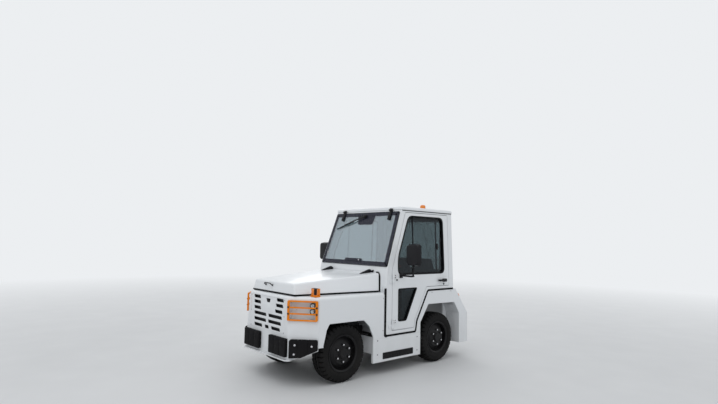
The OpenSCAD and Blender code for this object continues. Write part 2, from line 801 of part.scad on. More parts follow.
// The fixed halves of the hinges with their pins
module hinge_posts() {
    color(rubber) both_sides() {
        for (z = door_hinge_z) {
            difference() {
                union() {
                    translate([door_axis_x, door_axis_y, z - hinge_h / 2]) cylinder(r = 11, h = hinge_h / 2 - seat_gap);
                    block([half_w + (z > waist_z ? -6 : 0), door_axis_y - 50, z - hinge_h / 2],
                        [half_w + 8, door_axis_y - 10, z - seat_gap]);
                    block([half_w + 1, door_axis_y - 12, z - hinge_h / 2], [half_w + 8, door_axis_y, z - seat_gap]);
                }
                if (z > waist_z) lean() block([half_w - 40, door_axis_y - 90, waist_z],
                    [half_w, door_axis_y + 90, cab_top_z]);
            }
            translate([door_axis_x, door_axis_y, z - 10]) cylinder(r = 5, h = hinge_h / 2);
        }
        rod_x(hinge_eye_r, bonnet_hinge_x, bonnet_hinge_x + 26, bonnet_axis_y, bonnet_axis_z);
        rod_x(hinge_pin_r, bonnet_hinge_x - 28, bonnet_hinge_x + 10, bonnet_axis_y, bonnet_axis_z);
        slab_x(bonnet_hinge_x, bonnet_hinge_x + 26) polygon([[bonnet_axis_y, bonnet_axis_z - 8],
            [bonnet_axis_y, bonnet_axis_z + 8], [screen_foot_y - 9, bonnet_axis_z + 24],
            [cowl_y(bonnet_axis_z + 24), bonnet_axis_z + 24], [cowl_y(bonnet_axis_z - 16), bonnet_axis_z - 16]]);
    }
}

// Where the cowl's front face is at a height
function cowl_y(z) = cab_y + (screen_foot_y - cab_y) * (z - waist_z - 2) / (screen_low_z - waist_z - 2);

// Lower body
skirt_top_z = 430;
skirt_low_z = 154;
skirt_rear_y = axle_r_y + arch_rear[0][0];
skirt_front_y = axle_f_y + arch_front[6][0];
vent_low_z = 185;
vent_h = 72;

module vent_outline(inset) {
    translate([cab_y - 32 + inset, vent_low_z + inset]) square([530 - 2 * inset, vent_h - 2 * inset]);
}

module side_skirts() {
    color(paint) both_sides() {
        slab_x(half_w - plate_t, half_w) difference() {
            polygon([[skirt_front_y, skirt_low_z], [skirt_rear_y, skirt_low_z], [skirt_rear_y, arch_rear[1][1]],
                [skirt_rear_y - 26, arch_rear[1][1]], [skirt_rear_y - 26, skirt_top_z],
                [cab_y + cab_step[0][0] + 4, skirt_top_z], [cab_y + cab_step[0][0] + 4, cab_low_z - 4],
                [cab_y - 3, cab_low_z - 4], [cab_y - 3, skirt_top_z], [skirt_front_y, skirt_top_z]]);
            vent_outline(0);
        }
        block([half_w - 30, skirt_front_y, skirt_low_z], [half_w, skirt_front_y + plate_t, skirt_top_z]);
        block([half_w - 30, skirt_rear_y - plate_t, skirt_low_z], [half_w, skirt_rear_y, arch_rear[1][1]]);
        block([rail_x, skirt_front_y + 20, skirt_low_z + 100], [half_w - plate_t, skirt_front_y + 32, cab_low_z - 5]);
        block([rail_x, skirt_rear_y - 40, skirt_low_z + 100], [half_w - plate_t, skirt_rear_y - 28, cab_low_z - 5]);
    }
}

module skirt_vents() {
    color(rubber) both_sides() slab_x(half_w - plate_t - 4, half_w - 1) vent_outline(seat_gap);
}

// Rear body: fender sides, wheel housings, deck and rear panel
module rear_side() {
    y0 = cab_y;
    difference() {
        polygon([[y0 + cab_step[0][0] + 5, skirt_top_z + e], [y0 + cab_step[0][0] + 5, cab_low_z],
            [y0 + cab_step[1][0] + 5, 588], [y0 + cab_step[2][0] + 4, shelf_z - 5], [cab_rear_y + 4, shelf_z - 5],
            [deck_edge_y, shelf_z - 5], [rear_y - 20, deck_foot_z], [rear_y, 600], [rear_y, 205], [axle_r_y + 300, 205],
            [skirt_rear_y - 26, skirt_top_z + e]]);
        arch(arch_rear, axle_r_y);
        translate([skirt_rear_y - 26 - e, 0]) square([e + 26, arch_rear[1][1] + e]);
    }
}

module rear_body() {
    t = plate_t;
    color(paint) {
        both_sides() {
            slab_x(half_w - t, half_w) rear_side();
            slab_x(half_w - arch_lip, half_w) arch_band(arch_rear, axle_r_y, 205, skirt_rear_y + 2, rear_y);
            slab_x(well_x + 3, half_w - t) intersection() {
                arch_band(arch_rear, axle_r_y, 500, skirt_rear_y, rear_y);
                rear_side_fill();
            }
            slab_x(well_x + 3, well_x + 3 + t) intersection() {
                translate([axle_r_y - 365, 420]) square([800, 500]);
                rear_side_fill();
            }
            block([well_x + 3, axle_r_y + 438, 205], [half_w - t, axle_r_y + 438 + t, 640]);
        }
        slab_x(-half_w + t / 2, half_w - t / 2) polygon([[cab_rear_y + 4, shelf_z - 5], [deck_edge_y, shelf_z - 5],
            [rear_y - 20, deck_foot_z], [rear_y, 600], [rear_y, 205], [rear_y - t, 205], [rear_y - t, 598],
            [rear_y - 25, 626], [deck_edge_y - 3, shelf_z - 5 - t], [cab_rear_y + 4, shelf_z - 5 - t]]);
    }
}

module rear_side_fill() {
    y0 = cab_y;
    polygon([[y0 + cab_step[0][0] + 5, 300], [y0 + cab_step[1][0] + 5, 588], [y0 + cab_step[2][0] + 4, shelf_z - 5],
        [deck_edge_y, shelf_z - 5], [rear_y - 20, deck_foot_z], [rear_y, 600], [rear_y, 205]]);
}

rear_pad_x = 110;
rear_pad_w = 430;
rear_lamp_w = 90;

module rear_pads() {
    color(rubber) both_sides() translate([rear_pad_x, rear_y, 300]) mirror([0, 1, 0]) pad_form(rear_pad_w, 250);
}

module rear_lamps() {
    color([0.7, 0.05, 0.05]) both_sides()
        block([half_w - 25 - rear_lamp_w, rear_y, 440], [half_w - 25, rear_y + 30, 580]);
}

// Tow hitch: three plates behind a base plate, with one pin through them
hitch_zs = [for (i = [0 : 2]) hitch_low_z + i * (jaw_h + jaw_t)];
hitch_top_z = hitch_zs[2] + jaw_t;
pin_y = rear_y + hitch_reach - 52;

module tow_hitch() {
    color(steel) difference() {
        union() {
            block([-75, rear_y, hitch_low_z - 30], [75, rear_y + 25, hitch_top_z + 30]);
            for (z = hitch_zs) hull() {
                translate([0, pin_y, z]) cylinder(r = 52, h = jaw_t);
                translate([-70, rear_y + 10, z]) cube([140, 10, jaw_t]);
            }
        }
        translate([0, pin_y, 0]) cylinder(r = pin_r + 0.1, h = 1000);
    }
}

module hitch_pin() {
    color([0.75, 0.75, 0.76]) translate([0, pin_y, 0]) {
        translate([0, 0, hitch_low_z - 12]) cylinder(r = pin_r, h = hitch_top_z - hitch_low_z + 40);
        translate([0, 0, hitch_top_z + seat_gap]) cylinder(r = 26, h = 14);
        translate([0, 0, hitch_top_z + 60]) rotate([0, 90, 0]) rotate_extrude() translate([34, 0]) circle(r = 6);
    }
}

// Chassis
module chassis_frame() {
    color(steel) {
        both_sides() {
            block([rail_x - rail_w, bumper_y + bumper_t, rail_top_z - rail_h], [rail_x, rear_y - plate_t, rail_top_z]);
            for (y = [cab_y + 10, cab_y + 470])
                block([rail_x - e, y, rail_top_z - rail_h], [half_w - plate_t, y + 50, cab_low_z]);
            block([rail_x - e, axle_r_y + 444, rail_top_z - rail_h], [half_w - plate_t, axle_r_y + 484, rail_top_z - 60]);
        }
        for (y = [bumper_y + bumper_t, axle_f_y + 400, axle_r_y - 400, rear_y - plate_t - 50])
            block([-rail_x + rail_w - e, y, rail_top_z - rail_h], [rail_x - rail_w + e, y + 50, rail_top_z]);
    }
}

module battery_block() {
    color([0.25, 0.27, 0.3])
        block([-rail_x + 15, bumper_y + 250, rail_top_z], [rail_x - 15, cab_y - 60, shoulder_z - 30]);
}

spring_x = rail_x - rail_w / 2;
spring_t = 10;
beam_h = 60;

module leaf_springs() {
    color(steel) both_sides() for (y = [axle_f_y, axle_r_y]) {
        top = rail_top_z - rail_h;
        low = hub_z + (y == axle_r_y ? axle_tube_r : beam_h / 2);
        for (i = [0 : 2]) block([spring_x - 25, y - 300 + i * 70, low + i * spring_t],
            [spring_x + 25, y + 300 - i * 70, low + (i + 1) * spring_t]);
        for (s = [-1, 1]) block([spring_x - 25, y + s * 288 - 12, low + e], [spring_x + 25, y + s * 288 + 12, top]);
    }
}

ear_gap = 110;

module front_axle() {
    color(steel) {
        block([-kingpin_x + 50, axle_f_y - 30, hub_z - beam_h / 2], [kingpin_x - 50, axle_f_y + 30, hub_z + beam_h / 2]);
        both_sides() difference() {
            union() {
                block([kingpin_x - 66, axle_f_y - 30, hub_z - ear_gap / 2 - 26],
                    [kingpin_x - 46, axle_f_y + 30, hub_z + ear_gap / 2 + 26]);
                for (z = [-ear_gap / 2 - 26, ear_gap / 2]) {
                    translate([kingpin_x, axle_f_y, hub_z + z]) cylinder(r = 30, h = 26);
                    block([kingpin_x - 50, axle_f_y - 30, hub_z + z], [kingpin_x, axle_f_y + 30, hub_z + z + 26]);
                }
            }
            translate([kingpin_x, axle_f_y, hub_z - 200]) cylinder(r = kingpin_r + run_gap, h = 400);
        }
    }
}

module knuckle() {
    color(steel) {
        translate([kingpin_x, axle_f_y, 0]) {
            translate([0, 0, hub_z - ear_gap / 2 + seat_gap]) cylinder(r = 28, h = ear_gap - 2 * seat_gap);
            translate([0, 0, hub_z - ear_gap / 2 - 26]) cylinder(r = kingpin_r, h = ear_gap + 52);
            block([-12, 0, hub_z - 40], [12, steer_arm, hub_z - 24]);
            translate([0, steer_arm, hub_z - 40]) cylinder(r = 16, h = 16);
            translate([0, steer_arm, hub_z - 30]) cylinder(r = 8, h = 36);
        }
        rod_x(stub_r, kingpin_x + 10, stub_end_x, axle_f_y, hub_z);
        rod_x(disc_r, disc_x, disc_x + disc_t, axle_f_y, hub_z);
    }
}

module knuckle_left() { knuckle(); }
module knuckle_right() { mirror([1, 0, 0]) knuckle(); }

module tie_rod() {
    y = axle_f_y + steer_arm;
    z = hub_z - 24 + seat_gap;
    color(steel) difference() {
        union() {
            rod_x(10, -kingpin_x + 12, kingpin_x - 12, y, z + 12);
            for (x = [-kingpin_x, kingpin_x]) translate([x, y, z]) cylinder(r = 17, h = 24);
        }
        translate([kingpin_x, y, z - e]) cylinder(r = 8 + run_gap, h = 40);
        translate([-kingpin_x, y, z - e]) cylinder(r = 8.6, h = 40);
    }
}

disc_x = kingpin_x + 40;
disc_t = 8;
disc_r = 110;
axle_tube_r = 44;

// Columns: place across, radius. One side of the rear axle from its housing out to its stub end
axle_half = [[70, 100], [130, axle_tube_r], [disc_x, axle_tube_r], [disc_x, disc_r], [disc_x + disc_t, disc_r],
    [disc_x + disc_t, stub_r], [stub_end_x, stub_r], [stub_end_x, 0]];

module rear_axle() {
    n = len(axle_half);
    color(steel) translate([0, axle_r_y, hub_z]) {
        wheel_profile(concat([for (i = [1 : n]) [-axle_half[n - i][0], axle_half[n - i][1]]], axle_half));
        rotate([90, 0, 0]) {
            cylinder(r = 60, h = 140);
            translate([0, 0, 130]) cylinder(r = 88, h = 290);
        }
    }
}

// Columns: place across from the wheel's middle, radius
module wheel_profile(points) {
    rotate([0, 90, 0]) rotate_extrude() polygon([for (p = points) [p[1], p[0]]]);
}

bead_r = rim_r - 12;
bead_x = 80;
flange_x = bead_x + 8;
barrel_r = bead_r - 8;
nut_face_x = 72;
cap_x = 92;
dish_r = nut_circle_r + 26;
bore_end_x = stub_end_x - wheel_x + seat_gap;
bore_r = stub_r + run_gap;

module rim() {
    color(rubber) {
        wheel_profile([[-flange_x, rim_r - 6], [-flange_x, rim_r], [-bead_x, rim_r], [-bead_x, bead_r],
            [bead_x, bead_r], [bead_x, rim_r], [flange_x, rim_r], [flange_x, rim_r - 6], [bead_x - 2, barrel_r],
            [30, barrel_r], [36, barrel_r - 18], [nut_face_x - 10, dish_r + 10], [nut_face_x, dish_r],
            [nut_face_x, 62], [nut_face_x + 8, 54], [cap_x, 44], [cap_x, 0],
            [bore_end_x, 0], [bore_end_x, bore_r], [-10, bore_r], [-10, 50], [nut_face_x - 12, 58],
            [nut_face_x - 8, 64], [nut_face_x - 8, dish_r - 4], [nut_face_x - 18, dish_r + 4],
            [28, barrel_r - 24], [22, barrel_r], [-bead_x + 2, barrel_r]]);
        for (i = [0 : nuts - 1]) rotate([i * 360 / nuts, 0, 0])
            rod_x(12, nut_face_x - 2, cap_x, 0, nut_circle_r);
    }
}

module tyre() {
    h = tyre_w / 2;
    color(rubber) wheel_profile([[-bead_x, bead_r], [-bead_x, rim_r + 2], [-h + 6, rim_r + 18], [-h, rim_r + 55],
        [-h + 4, tyre_r - 30], [-h + 18, tyre_r - 6], [-h + 40, tyre_r], [h - 40, tyre_r], [h - 18, tyre_r - 6],
        [h - 4, tyre_r - 30], [h, rim_r + 55], [h - 6, rim_r + 18], [bead_x, rim_r + 2], [bead_x, bead_r]]);
}

module at_wheel(side, y) {
    if (side > 0) translate([wheel_x, y, hub_z]) children();
    else mirror([1, 0, 0]) translate([wheel_x, y, hub_z]) children();
}

module rim_front_left() { at_wheel(1, axle_f_y) rim(); }
module rim_front_right() { at_wheel(-1, axle_f_y) rim(); }
module rim_rear_left() { at_wheel(1, axle_r_y) rim(); }
module rim_rear_right() { at_wheel(-1, axle_r_y) rim(); }
module tyre_front_left() { at_wheel(1, axle_f_y) tyre(); }
module tyre_front_right() { at_wheel(-1, axle_f_y) tyre(); }
module tyre_rear_left() { at_wheel(1, axle_r_y) tyre(); }
module tyre_rear_right() { at_wheel(-1, axle_r_y) tyre(); }

chassis_frame();
front_bumper();
bumper_pads();
front_body();
grille_panel();
lamp_guards();
headlamps();
turn_lamps();
battery_block();
cab_frame();
cab_roof();
roof_beacon();
windscreen();
windscreen_wiper();
rear_window();
cab_floor();
dashboard();
steering_column();
pedals();
seat_frames();
driver_cushion();
driver_backrest();
passenger_cushion();
passenger_backrest();
side_skirts();
skirt_vents();
rear_body();
rear_pads();
rear_lamps();
tow_hitch();
hitch_pin();
front_axle();
rear_axle();
leaf_springs();
hinge_posts();
bonnet();
bonnet_fittings();
door_left();
door_left_glass();
door_left_fittings();
mirror_left();
door_right();
door_right_glass();
door_right_fittings();
mirror_right();
steering_wheel();
knuckle_left();
knuckle_right();
tie_rod();
rim_front_left();
rim_front_right();
rim_rear_left();
rim_rear_right();
tyre_front_left();
tyre_front_right();
tyre_rear_left();
tyre_rear_right();
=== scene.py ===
"""Looks of an electric airport baggage tug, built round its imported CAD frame.

All places are in metres in the frame's own axes: +X is the tug's left side, -Y its front, +Z up.
"""

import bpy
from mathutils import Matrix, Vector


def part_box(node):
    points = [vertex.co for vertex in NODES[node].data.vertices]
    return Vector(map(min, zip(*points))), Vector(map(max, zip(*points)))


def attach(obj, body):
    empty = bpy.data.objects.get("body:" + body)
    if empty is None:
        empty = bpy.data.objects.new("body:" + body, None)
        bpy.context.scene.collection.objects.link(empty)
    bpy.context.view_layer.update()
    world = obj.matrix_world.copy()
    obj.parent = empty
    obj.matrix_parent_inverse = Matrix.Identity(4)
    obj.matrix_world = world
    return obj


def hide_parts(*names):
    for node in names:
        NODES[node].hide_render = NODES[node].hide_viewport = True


bl_info = {
    "name": "Airport baggage tug",
    "version": (1, 0, 0),
    "blender": (4, 5, 0),
    "location": "View3D > Sidebar > Tug",
    "description": "Finishes, trim, wheels, lamps, seats and stage for the baggage tug",
    "category": "Add Mesh",
}

from math import atan2, cos, pi, radians, sin, tan

import bmesh
import bpy
from mathutils import Matrix, Vector

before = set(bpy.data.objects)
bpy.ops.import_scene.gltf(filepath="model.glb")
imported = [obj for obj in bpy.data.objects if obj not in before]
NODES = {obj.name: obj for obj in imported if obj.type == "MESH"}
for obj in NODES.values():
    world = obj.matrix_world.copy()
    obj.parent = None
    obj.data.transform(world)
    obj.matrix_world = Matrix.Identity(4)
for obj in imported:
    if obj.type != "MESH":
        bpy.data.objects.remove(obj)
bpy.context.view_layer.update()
SIDES = ("left", "right")
ROOT = "chassis"

# Places that the CAD source gives
HALF_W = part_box("side_skirts")[1].x
CORNER_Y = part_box("front_bumper")[1].y
BUMPER_Y = CORNER_Y - 0.234
CAB_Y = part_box("cab_frame")[0].y
CAB_REAR_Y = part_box("cab_frame")[1].y
REAR_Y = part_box("rear_body")[1].y
SHOULDER_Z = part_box("front_body")[1].z
SHELF_Z = 0.965
WAIST_Z = 1.015
CAB_LEAN = radians(-2.3)
SCREEN_FOOT = (CAB_Y + 0.046, 1.283)
SCREEN_RISE = radians(70.5)
SCREEN_H = 0.74
LAMP_Z = 0.825
LAMP_START = 0.034
TYRE_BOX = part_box("tyre_front_left")
HUB_Z = TYRE_BOX[1].z / 2
WHEEL_X = (TYRE_BOX[0].x + TYRE_BOX[1].x) / 2
WHEEL_YS = {
    place: (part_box(f"tyre_{place}_left")[0].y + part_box(f"tyre_{place}_left")[1].y) / 2
    for place in ("front", "rear")
}
HELM_AT = (0.232, CAB_Y + 0.4, 1.205)
HELM_TILT = radians(-38)
SEAT_X = 0.232
DOOR_AXIS = (HALF_W + 0.014, CAB_Y + 0.118)
HINGE_ZS = (0.585, 1.135)
MIRROR_X, MIRROR_Y = HALF_W + 0.205, CAB_Y + 0.268
# How far the rubber blocks stand out, and the bolts' seat just under their face
BLOCK_OUT, BLOCK_SEAT = 0.037, 0.0366
# The doors' upper window has five corners; its front edge is upright low down and slants above
UPPER_WINDOW = [(-0.040, 1.185), (0.858, 1.185), (0.846, 1.928), (0.166, 1.928), (-0.037, 1.398)]
DOOR_OUTLINE = [
    (-0.150, 0.508), (0.247, 0.508), (0.264, 0.612), (0.488, 1.014), (0.956, 1.014),
    (0.956, 1.973), (0.108, 1.973), (-0.150, 1.233),
]
DOOR_T = 0.04
LOWER_WINDOW = [(-0.042, 1.003), (0.292, 1.003), (0.098, 0.612), (-0.039, 0.612)]
# The grille's slots: height of each row, and from and to of its slots
SLOT_ROWS = [
    (0.9145, [(-0.308, -0.147), (0.193, 0.349)]),
    (0.8525, [(-0.305, -0.143), (0.181, 0.341)]),
    (0.7860, [(-0.303, -0.138), (0.165, 0.328)]),
    (0.7225, [(-0.295, -0.011), (0.024, 0.321)]),
    (0.6560, [(-0.293, -0.012), (0.022, 0.305)]),
    (0.5890, [(-0.288, -0.097), (-0.046, 0.049), (0.091, 0.290)]),
]


# Sizes and colours that a user would change


def length_prop(name, description, value):
    """A length that a user may change."""
    return bpy.props.FloatProperty(name=name, description=description, default=value, unit="LENGTH")


class TugSizes(bpy.types.PropertyGroup):
    """Sizes of the trim that is laid over the CAD frame."""

    tread_depth: length_prop("Tread depth", "Depth of the tyres' tread", 0.010)
    seam_width: length_prop("Seam width", "Width of the rubber between cab and body", 0.024)
    front_seam_width: length_prop(
        "Front seam width", "Width of the upright rubber before the doors", 0.032
    )
    window_rubber: length_prop(
        "Window rubber", "Width of the rubber round the doors' upper windows", 0.020
    )
    frit_width: length_prop("Screen border", "Width of the windscreen's black border", 0.052)
    edge_round: length_prop(
        "Sheet edge", "Radius that softens the edges of the painted sheets", 0.0035
    )
    lid_round: length_prop("Bonnet edge", "Radius of the bonnet's edges", 0.02)


def colour_prop(name, description, value):
    """A colour that a user may change."""
    return bpy.props.FloatVectorProperty(
        name=name, description=description, default=value, subtype="COLOR", min=0, max=1
    )


class TugColours(bpy.types.PropertyGroup):
    """Colours of the tug's finishes."""

    body: colour_prop("Body", "White paint of the body and cab", (0.78, 0.8, 0.82))
    guards: colour_prop("Guards", "Orange paint of the lamp guards", (0.80, 0.215, 0.006))
    seals: colour_prop("Seals", "Rubber seals and pads", (0.006, 0.006, 0.007))
    plastic: colour_prop("Plastic", "Black plastic fittings", (0.008, 0.008, 0.010))
    chassis: colour_prop("Chassis", "Dark paint of the chassis", (0.016, 0.0165, 0.018))
    wheels: colour_prop("Wheels", "Black paint of the rims", (0.005, 0.005, 0.006))
    tyres: colour_prop("Tyres", "Tyre rubber", (0.0075, 0.0075, 0.008))
    seats: colour_prop("Seats", "Vinyl of the seats", (0.014, 0.014, 0.016))
    amber: colour_prop("Amber lamps", "Turn lamps and beacon", (0.9, 0.25, 0.012))
    red: colour_prop("Red lamps", "Rear lamps", (0.5, 0.008, 0.01))
    glass: colour_prop("Glass", "What the window glass lets through", (0.72, 0.79, 0.8))


def sizes():
    """The sizes set on the scene."""
    return bpy.context.scene.tug_sizes


# Finishes

DUST_TONE = (0.3, 0.27, 0.23)


def add_node(tree, kind, links=None, **settings):
    """Adds a shader node, sets it, and links or sets its inputs."""
    made = tree.nodes.new(kind)
    for key, value in settings.items():
        setattr(made, key, value)
    for key, value in (links or {}).items():
        feed(tree, made.inputs[key], value)
    return made


def feed(tree, socket, value):
    """Links a socket to another, or sets its value."""
    if isinstance(value, bpy.types.NodeSocket):
        tree.links.new(value, socket)
    else:
        socket.default_value = value


class Finish:
    """A node material round one Principled shader."""

    def __init__(self, name, colour, rough, metal=0.0, coat=0.0, sheen=0.0, ior=1.5):
        self.mat = bpy.data.materials.new(name)
        self.mat.use_nodes = True
        self.mat.diffuse_color = (*colour, 1)
        self.tree = self.mat.node_tree
        self.shader = self.tree.nodes["Principled BSDF"]
        self.colour = colour
        self.rough = rough
        for socket, value in (
            ("Base Color", (*colour, 1)), ("Roughness", rough), ("Metallic", metal),
            ("Coat Weight", coat), ("Coat Roughness", 0.06), ("Sheen Weight", sheen),
            ("Sheen Roughness", 0.5), ("IOR", ior),
        ):
            self.shader.inputs[socket].default_value = value
        self.place = self.node("ShaderNodeTexCoord").outputs["Object"]
        self.normal = None

    def node(self, kind, links=None, **settings):
        return add_node(self.tree, kind, links, **settings)

    def feed(self, socket, value):
        feed(self.tree, socket, value)

    def noise(self, scale, detail=4.0, stretch=(1, 1, 1)):
        mapped = self.node("ShaderNodeMapping", {"Vector": self.place, "Scale": stretch})
        return self.node(
            "ShaderNodeTexNoise", {"Vector": mapped.outputs[0], "Scale": scale, "Detail": detail}
        ).outputs["Fac"]

    def span(self, value, low, high, to_low=0.0, to_high=1.0):
        return self.node(
            "ShaderNodeMapRange",
            {"Value": value, "From Min": low, "From Max": high, "To Min": to_low,
             "To Max": to_high},
        ).outputs["Result"]

    def maths(self, operation, a, b=0.0):
        return self.node("ShaderNodeMath", {0: a, 1: b}, operation=operation).outputs[0]

    def height(self):
        return self.node("ShaderNodeSeparateXYZ", {0: self.place}).outputs["Z"]

    def blend(self, share, other):
        """Lays another colour over the base colour by share."""
        base = self.shader.inputs["Base Color"]
        before = base.links[0].from_socket if base.is_linked else (*self.colour, 1)
        mixed = self.node("ShaderNodeMix", data_type="RGBA")
        self.feed(mixed.inputs[0], share)
        self.feed(mixed.inputs[6], before)
        after = other if isinstance(other, bpy.types.NodeSocket) else (*other, 1)
        self.feed(mixed.inputs[7], after)
        self.feed(base, mixed.outputs[2])
        return self

    def blotch(self, scale, amount, other, stretch=(1, 1, 1)):
        """Soft patches of another tone."""
        share = self.span(self.noise(scale, 3.0, stretch), 0.35, 0.75, 0.0, amount)
        return self.blend(share, other)

    def dust(self, low, high, amount):
        """Road dust that thins out upwards."""
        fade = self.span(self.height(), low, high, amount, 0.0)
        patches = self.span(self.noise(7.0, 6.0, (1, 1, 0.6)), 0.3, 0.7, 0.25, 1.0)
        return self.blend(self.maths("MULTIPLY", fade, patches), DUST_TONE)

    def gloss(self, scale, low, high):
        """Roughness that varies between two values."""
        self.feed(
            self.shader.inputs["Roughness"],
            self.span(self.noise(scale, 5.0), 0.3, 0.7, low, high),
        )
        return self

    def rounded(self, radius):
        """Softens hard edges in the shading."""
        bevel = self.node("ShaderNodeBevel", {"Radius": radius})
        bevel.samples = 4
        return self.bent(bevel.outputs[0])

    def bent(self, normal):
        self.normal = normal
        self.feed(self.shader.inputs["Normal"], normal)
        return self

    def relief(self, height, strength, distance):
        bump = self.node(
            "ShaderNodeBump", {"Height": height, "Strength": strength, "Distance": distance}
        )
        if self.normal:
            self.feed(bump.inputs["Normal"], self.normal)
        return self.bent(bump.outputs[0])

    def grain(self, scale, distance, strength=0.5):
        return self.relief(self.noise(scale, 3.0), strength, distance)


def wheel_house_shade_and_grime(made):
    """Where the paint is darkened inside the body, round the wheels: painted shade of the wheel
    houses, with some road grime.
    """
    across, along, up = made.node("ShaderNodeSeparateXYZ", {0: made.place}).outputs
    inside = made.span(made.maths("ABSOLUTE", across), 0.635, 0.672, 0.85, 0.0)
    below = made.span(up, 0.77, 0.83, 1.0, 0.0)
    near = [
        made.span(made.maths("ABSOLUTE", made.maths("SUBTRACT", along, y)), 0.33, 0.37, 1.0, 0.0)
        for y in WHEEL_YS.values()
    ]
    beside = made.maths("MAXIMUM", *near)
    return made.maths("MULTIPLY", made.maths("MULTIPLY", inside, below), beside)


def body_paint(colours):
    """White two-pack paint with faint orange peel and road dust low down."""
    made = Finish("body_paint", colours.body, 0.34, coat=0.25)
    made.rounded(sizes().edge_round)
    made.blotch(1.6, 0.1, (0.7, 0.72, 0.74))
    made.blotch(9.0, 0.06, (0.86, 0.87, 0.87), (1, 1, 0.25))
    made.dust(0.12, 0.75, 0.16)
    # Painted shade, with some road grime: near-black paint inside the wheel houses round the
    # wheels.
    made.blend(wheel_house_shade_and_grime(made), (0.06, 0.061, 0.064))
    made.gloss(5.0, 0.28, 0.42)
    return made.grain(260.0, 0.0004, 0.25)


def rubber(name, colour, rough, grain, dust):
    """Dusty rubber with a fine grain."""
    made = Finish(name, colour, rough, ior=1.18)
    made.blotch(6.0, 0.35, tuple(c * 1.7 for c in colour))
    made.dust(0.0, 0.8, dust)
    made.gloss(30.0, rough - 0.08, rough + 0.1)
    return made.grain(grain, 0.0006)


def painted_steel(name, colour, rough, dust):
    """Painted steel with softened edges and dust."""
    made = Finish(name, colour, rough, ior=1.3)
    made.rounded(0.003)
    made.blotch(5.0, 0.3, tuple(min(1.0, c * 1.8) for c in colour))
    made.dust(0.0, 1.0, dust)
    made.gloss(12.0, rough - 0.08, rough + 0.14)
    return made.grain(140.0, 0.0005, 0.4)


def moulded(name, colour, rough):
    """Textured black plastic."""
    made = Finish(name, colour, rough, ior=1.3)
    made.rounded(0.0015)
    made.blotch(4.0, 0.3, tuple(c * 1.4 for c in colour))
    made.gloss(40.0, rough - 0.06, rough + 0.08)
    return made.grain(900.0, 0.0003, 0.5)


def bright_metal(name, colour, rough):
    """Bare or plated metal."""
    made = Finish(name, colour, rough, metal=1.0)
    made.gloss(70.0, rough, rough + 0.2)
    made.blotch(25.0, 0.35, tuple(c * 0.6 for c in colour))
    return made.grain(400.0, 0.0002, 0.3)


def lens(name, colour, ribs):
    """Moulded lamp lens with fine upright ribs and light held inside it."""
    made = Finish(name, colour, 0.12, coat=0.5)
    wave = made.node(
        "ShaderNodeTexWave", {"Vector": made.place, "Scale": ribs, "Distortion": 0.0},
        wave_type="BANDS", bands_direction="DIAGONAL",
    ).outputs["Fac"]
    made.blend(made.span(wave, 0.0, 1.0, 0.0, 0.35), tuple(c * 0.45 for c in colour))
    made.shader.inputs["Subsurface Weight"].default_value = 0.25
    made.shader.inputs["Subsurface Radius"].default_value = (0.01, 0.004, 0.001)
    made.shader.inputs["Subsurface Scale"].default_value = 0.5
    return made.relief(wave, 0.35, 0.001)


def pane(name, tint, shine):
    """Thin window glass: tinted see-through with a reflection that grows towards the edges."""
    made = Finish(name, (0.86, 0.92, 0.98), 0.02, metal=1.0)
    facing = made.node("ShaderNodeLayerWeight", {"Blend": 0.14}).outputs["Fresnel"]
    share = made.span(facing, 0.0, 1.0, shine, 1.0)
    smear = made.span(made.noise(2.2, 4.0, (1, 1, 0.5)), 0.3, 0.8, 0.015, 0.06)
    made.feed(made.shader.inputs["Roughness"], smear)
    clear = made.node("ShaderNodeBsdfTransparent", {"Color": (*tint, 1)})
    mixed = made.node("ShaderNodeMixShader", {0: share, 1: clear.outputs[0],
                                              2: made.shader.outputs[0]})
    made.tree.links.new(mixed.outputs[0], made.tree.nodes["Material Output"].inputs["Surface"])
    return made


def cover_vinyl(colours):
    """Black seat vinyl with a pebbled leather grain."""
    made = Finish("seat_vinyl", colours.seats, 0.5, sheen=0.05, ior=1.3)
    made.blotch(12.0, 0.4, (0.03, 0.03, 0.033))
    made.gloss(30.0, 0.4, 0.58)
    cells = made.node(
        "ShaderNodeTexVoronoi", {"Vector": made.place, "Scale": 420.0}, feature="DISTANCE_TO_EDGE"
    ).outputs["Distance"]
    made.relief(made.span(cells, 0.0, 0.25), 0.5, 0.0004)
    return made.grain(90.0, 0.0006, 0.3)


def vent_mesh(colours):
    """Black expanded mesh: a grid of small dark holes."""
    made = Finish("vent_mesh", colours.plastic, 0.5)
    weave = [
        made.node(
            "ShaderNodeTexWave", {"Vector": made.place, "Scale": 26.0},
            wave_type="BANDS", bands_direction=way,
        ).outputs["Fac"]
        for way in ("Y", "Z")
    ]
    holes = made.span(made.maths("MINIMUM", weave[0], weave[1]), 0.25, 0.5)
    made.blend(made.maths("SUBTRACT", 1.0, holes), (0.003, 0.003, 0.003))
    made.blotch(14.0, 0.3, (0.06, 0.056, 0.05))
    return made.relief(holes, 1.0, 0.0015)


def ribbed_mat():
    """Rubber floor with fine ribs."""
    made = Finish("floor_mat", (0.03, 0.03, 0.032), 0.7)
    wave = made.node(
        "ShaderNodeTexWave", {"Vector": made.place, "Scale": 22.0},
        wave_type="BANDS", bands_direction="X",
    ).outputs["Fac"]
    made.blotch(5.0, 0.5, (0.09, 0.08, 0.07))
    return made.relief(wave, 0.6, 0.002)


FINISHES = {}

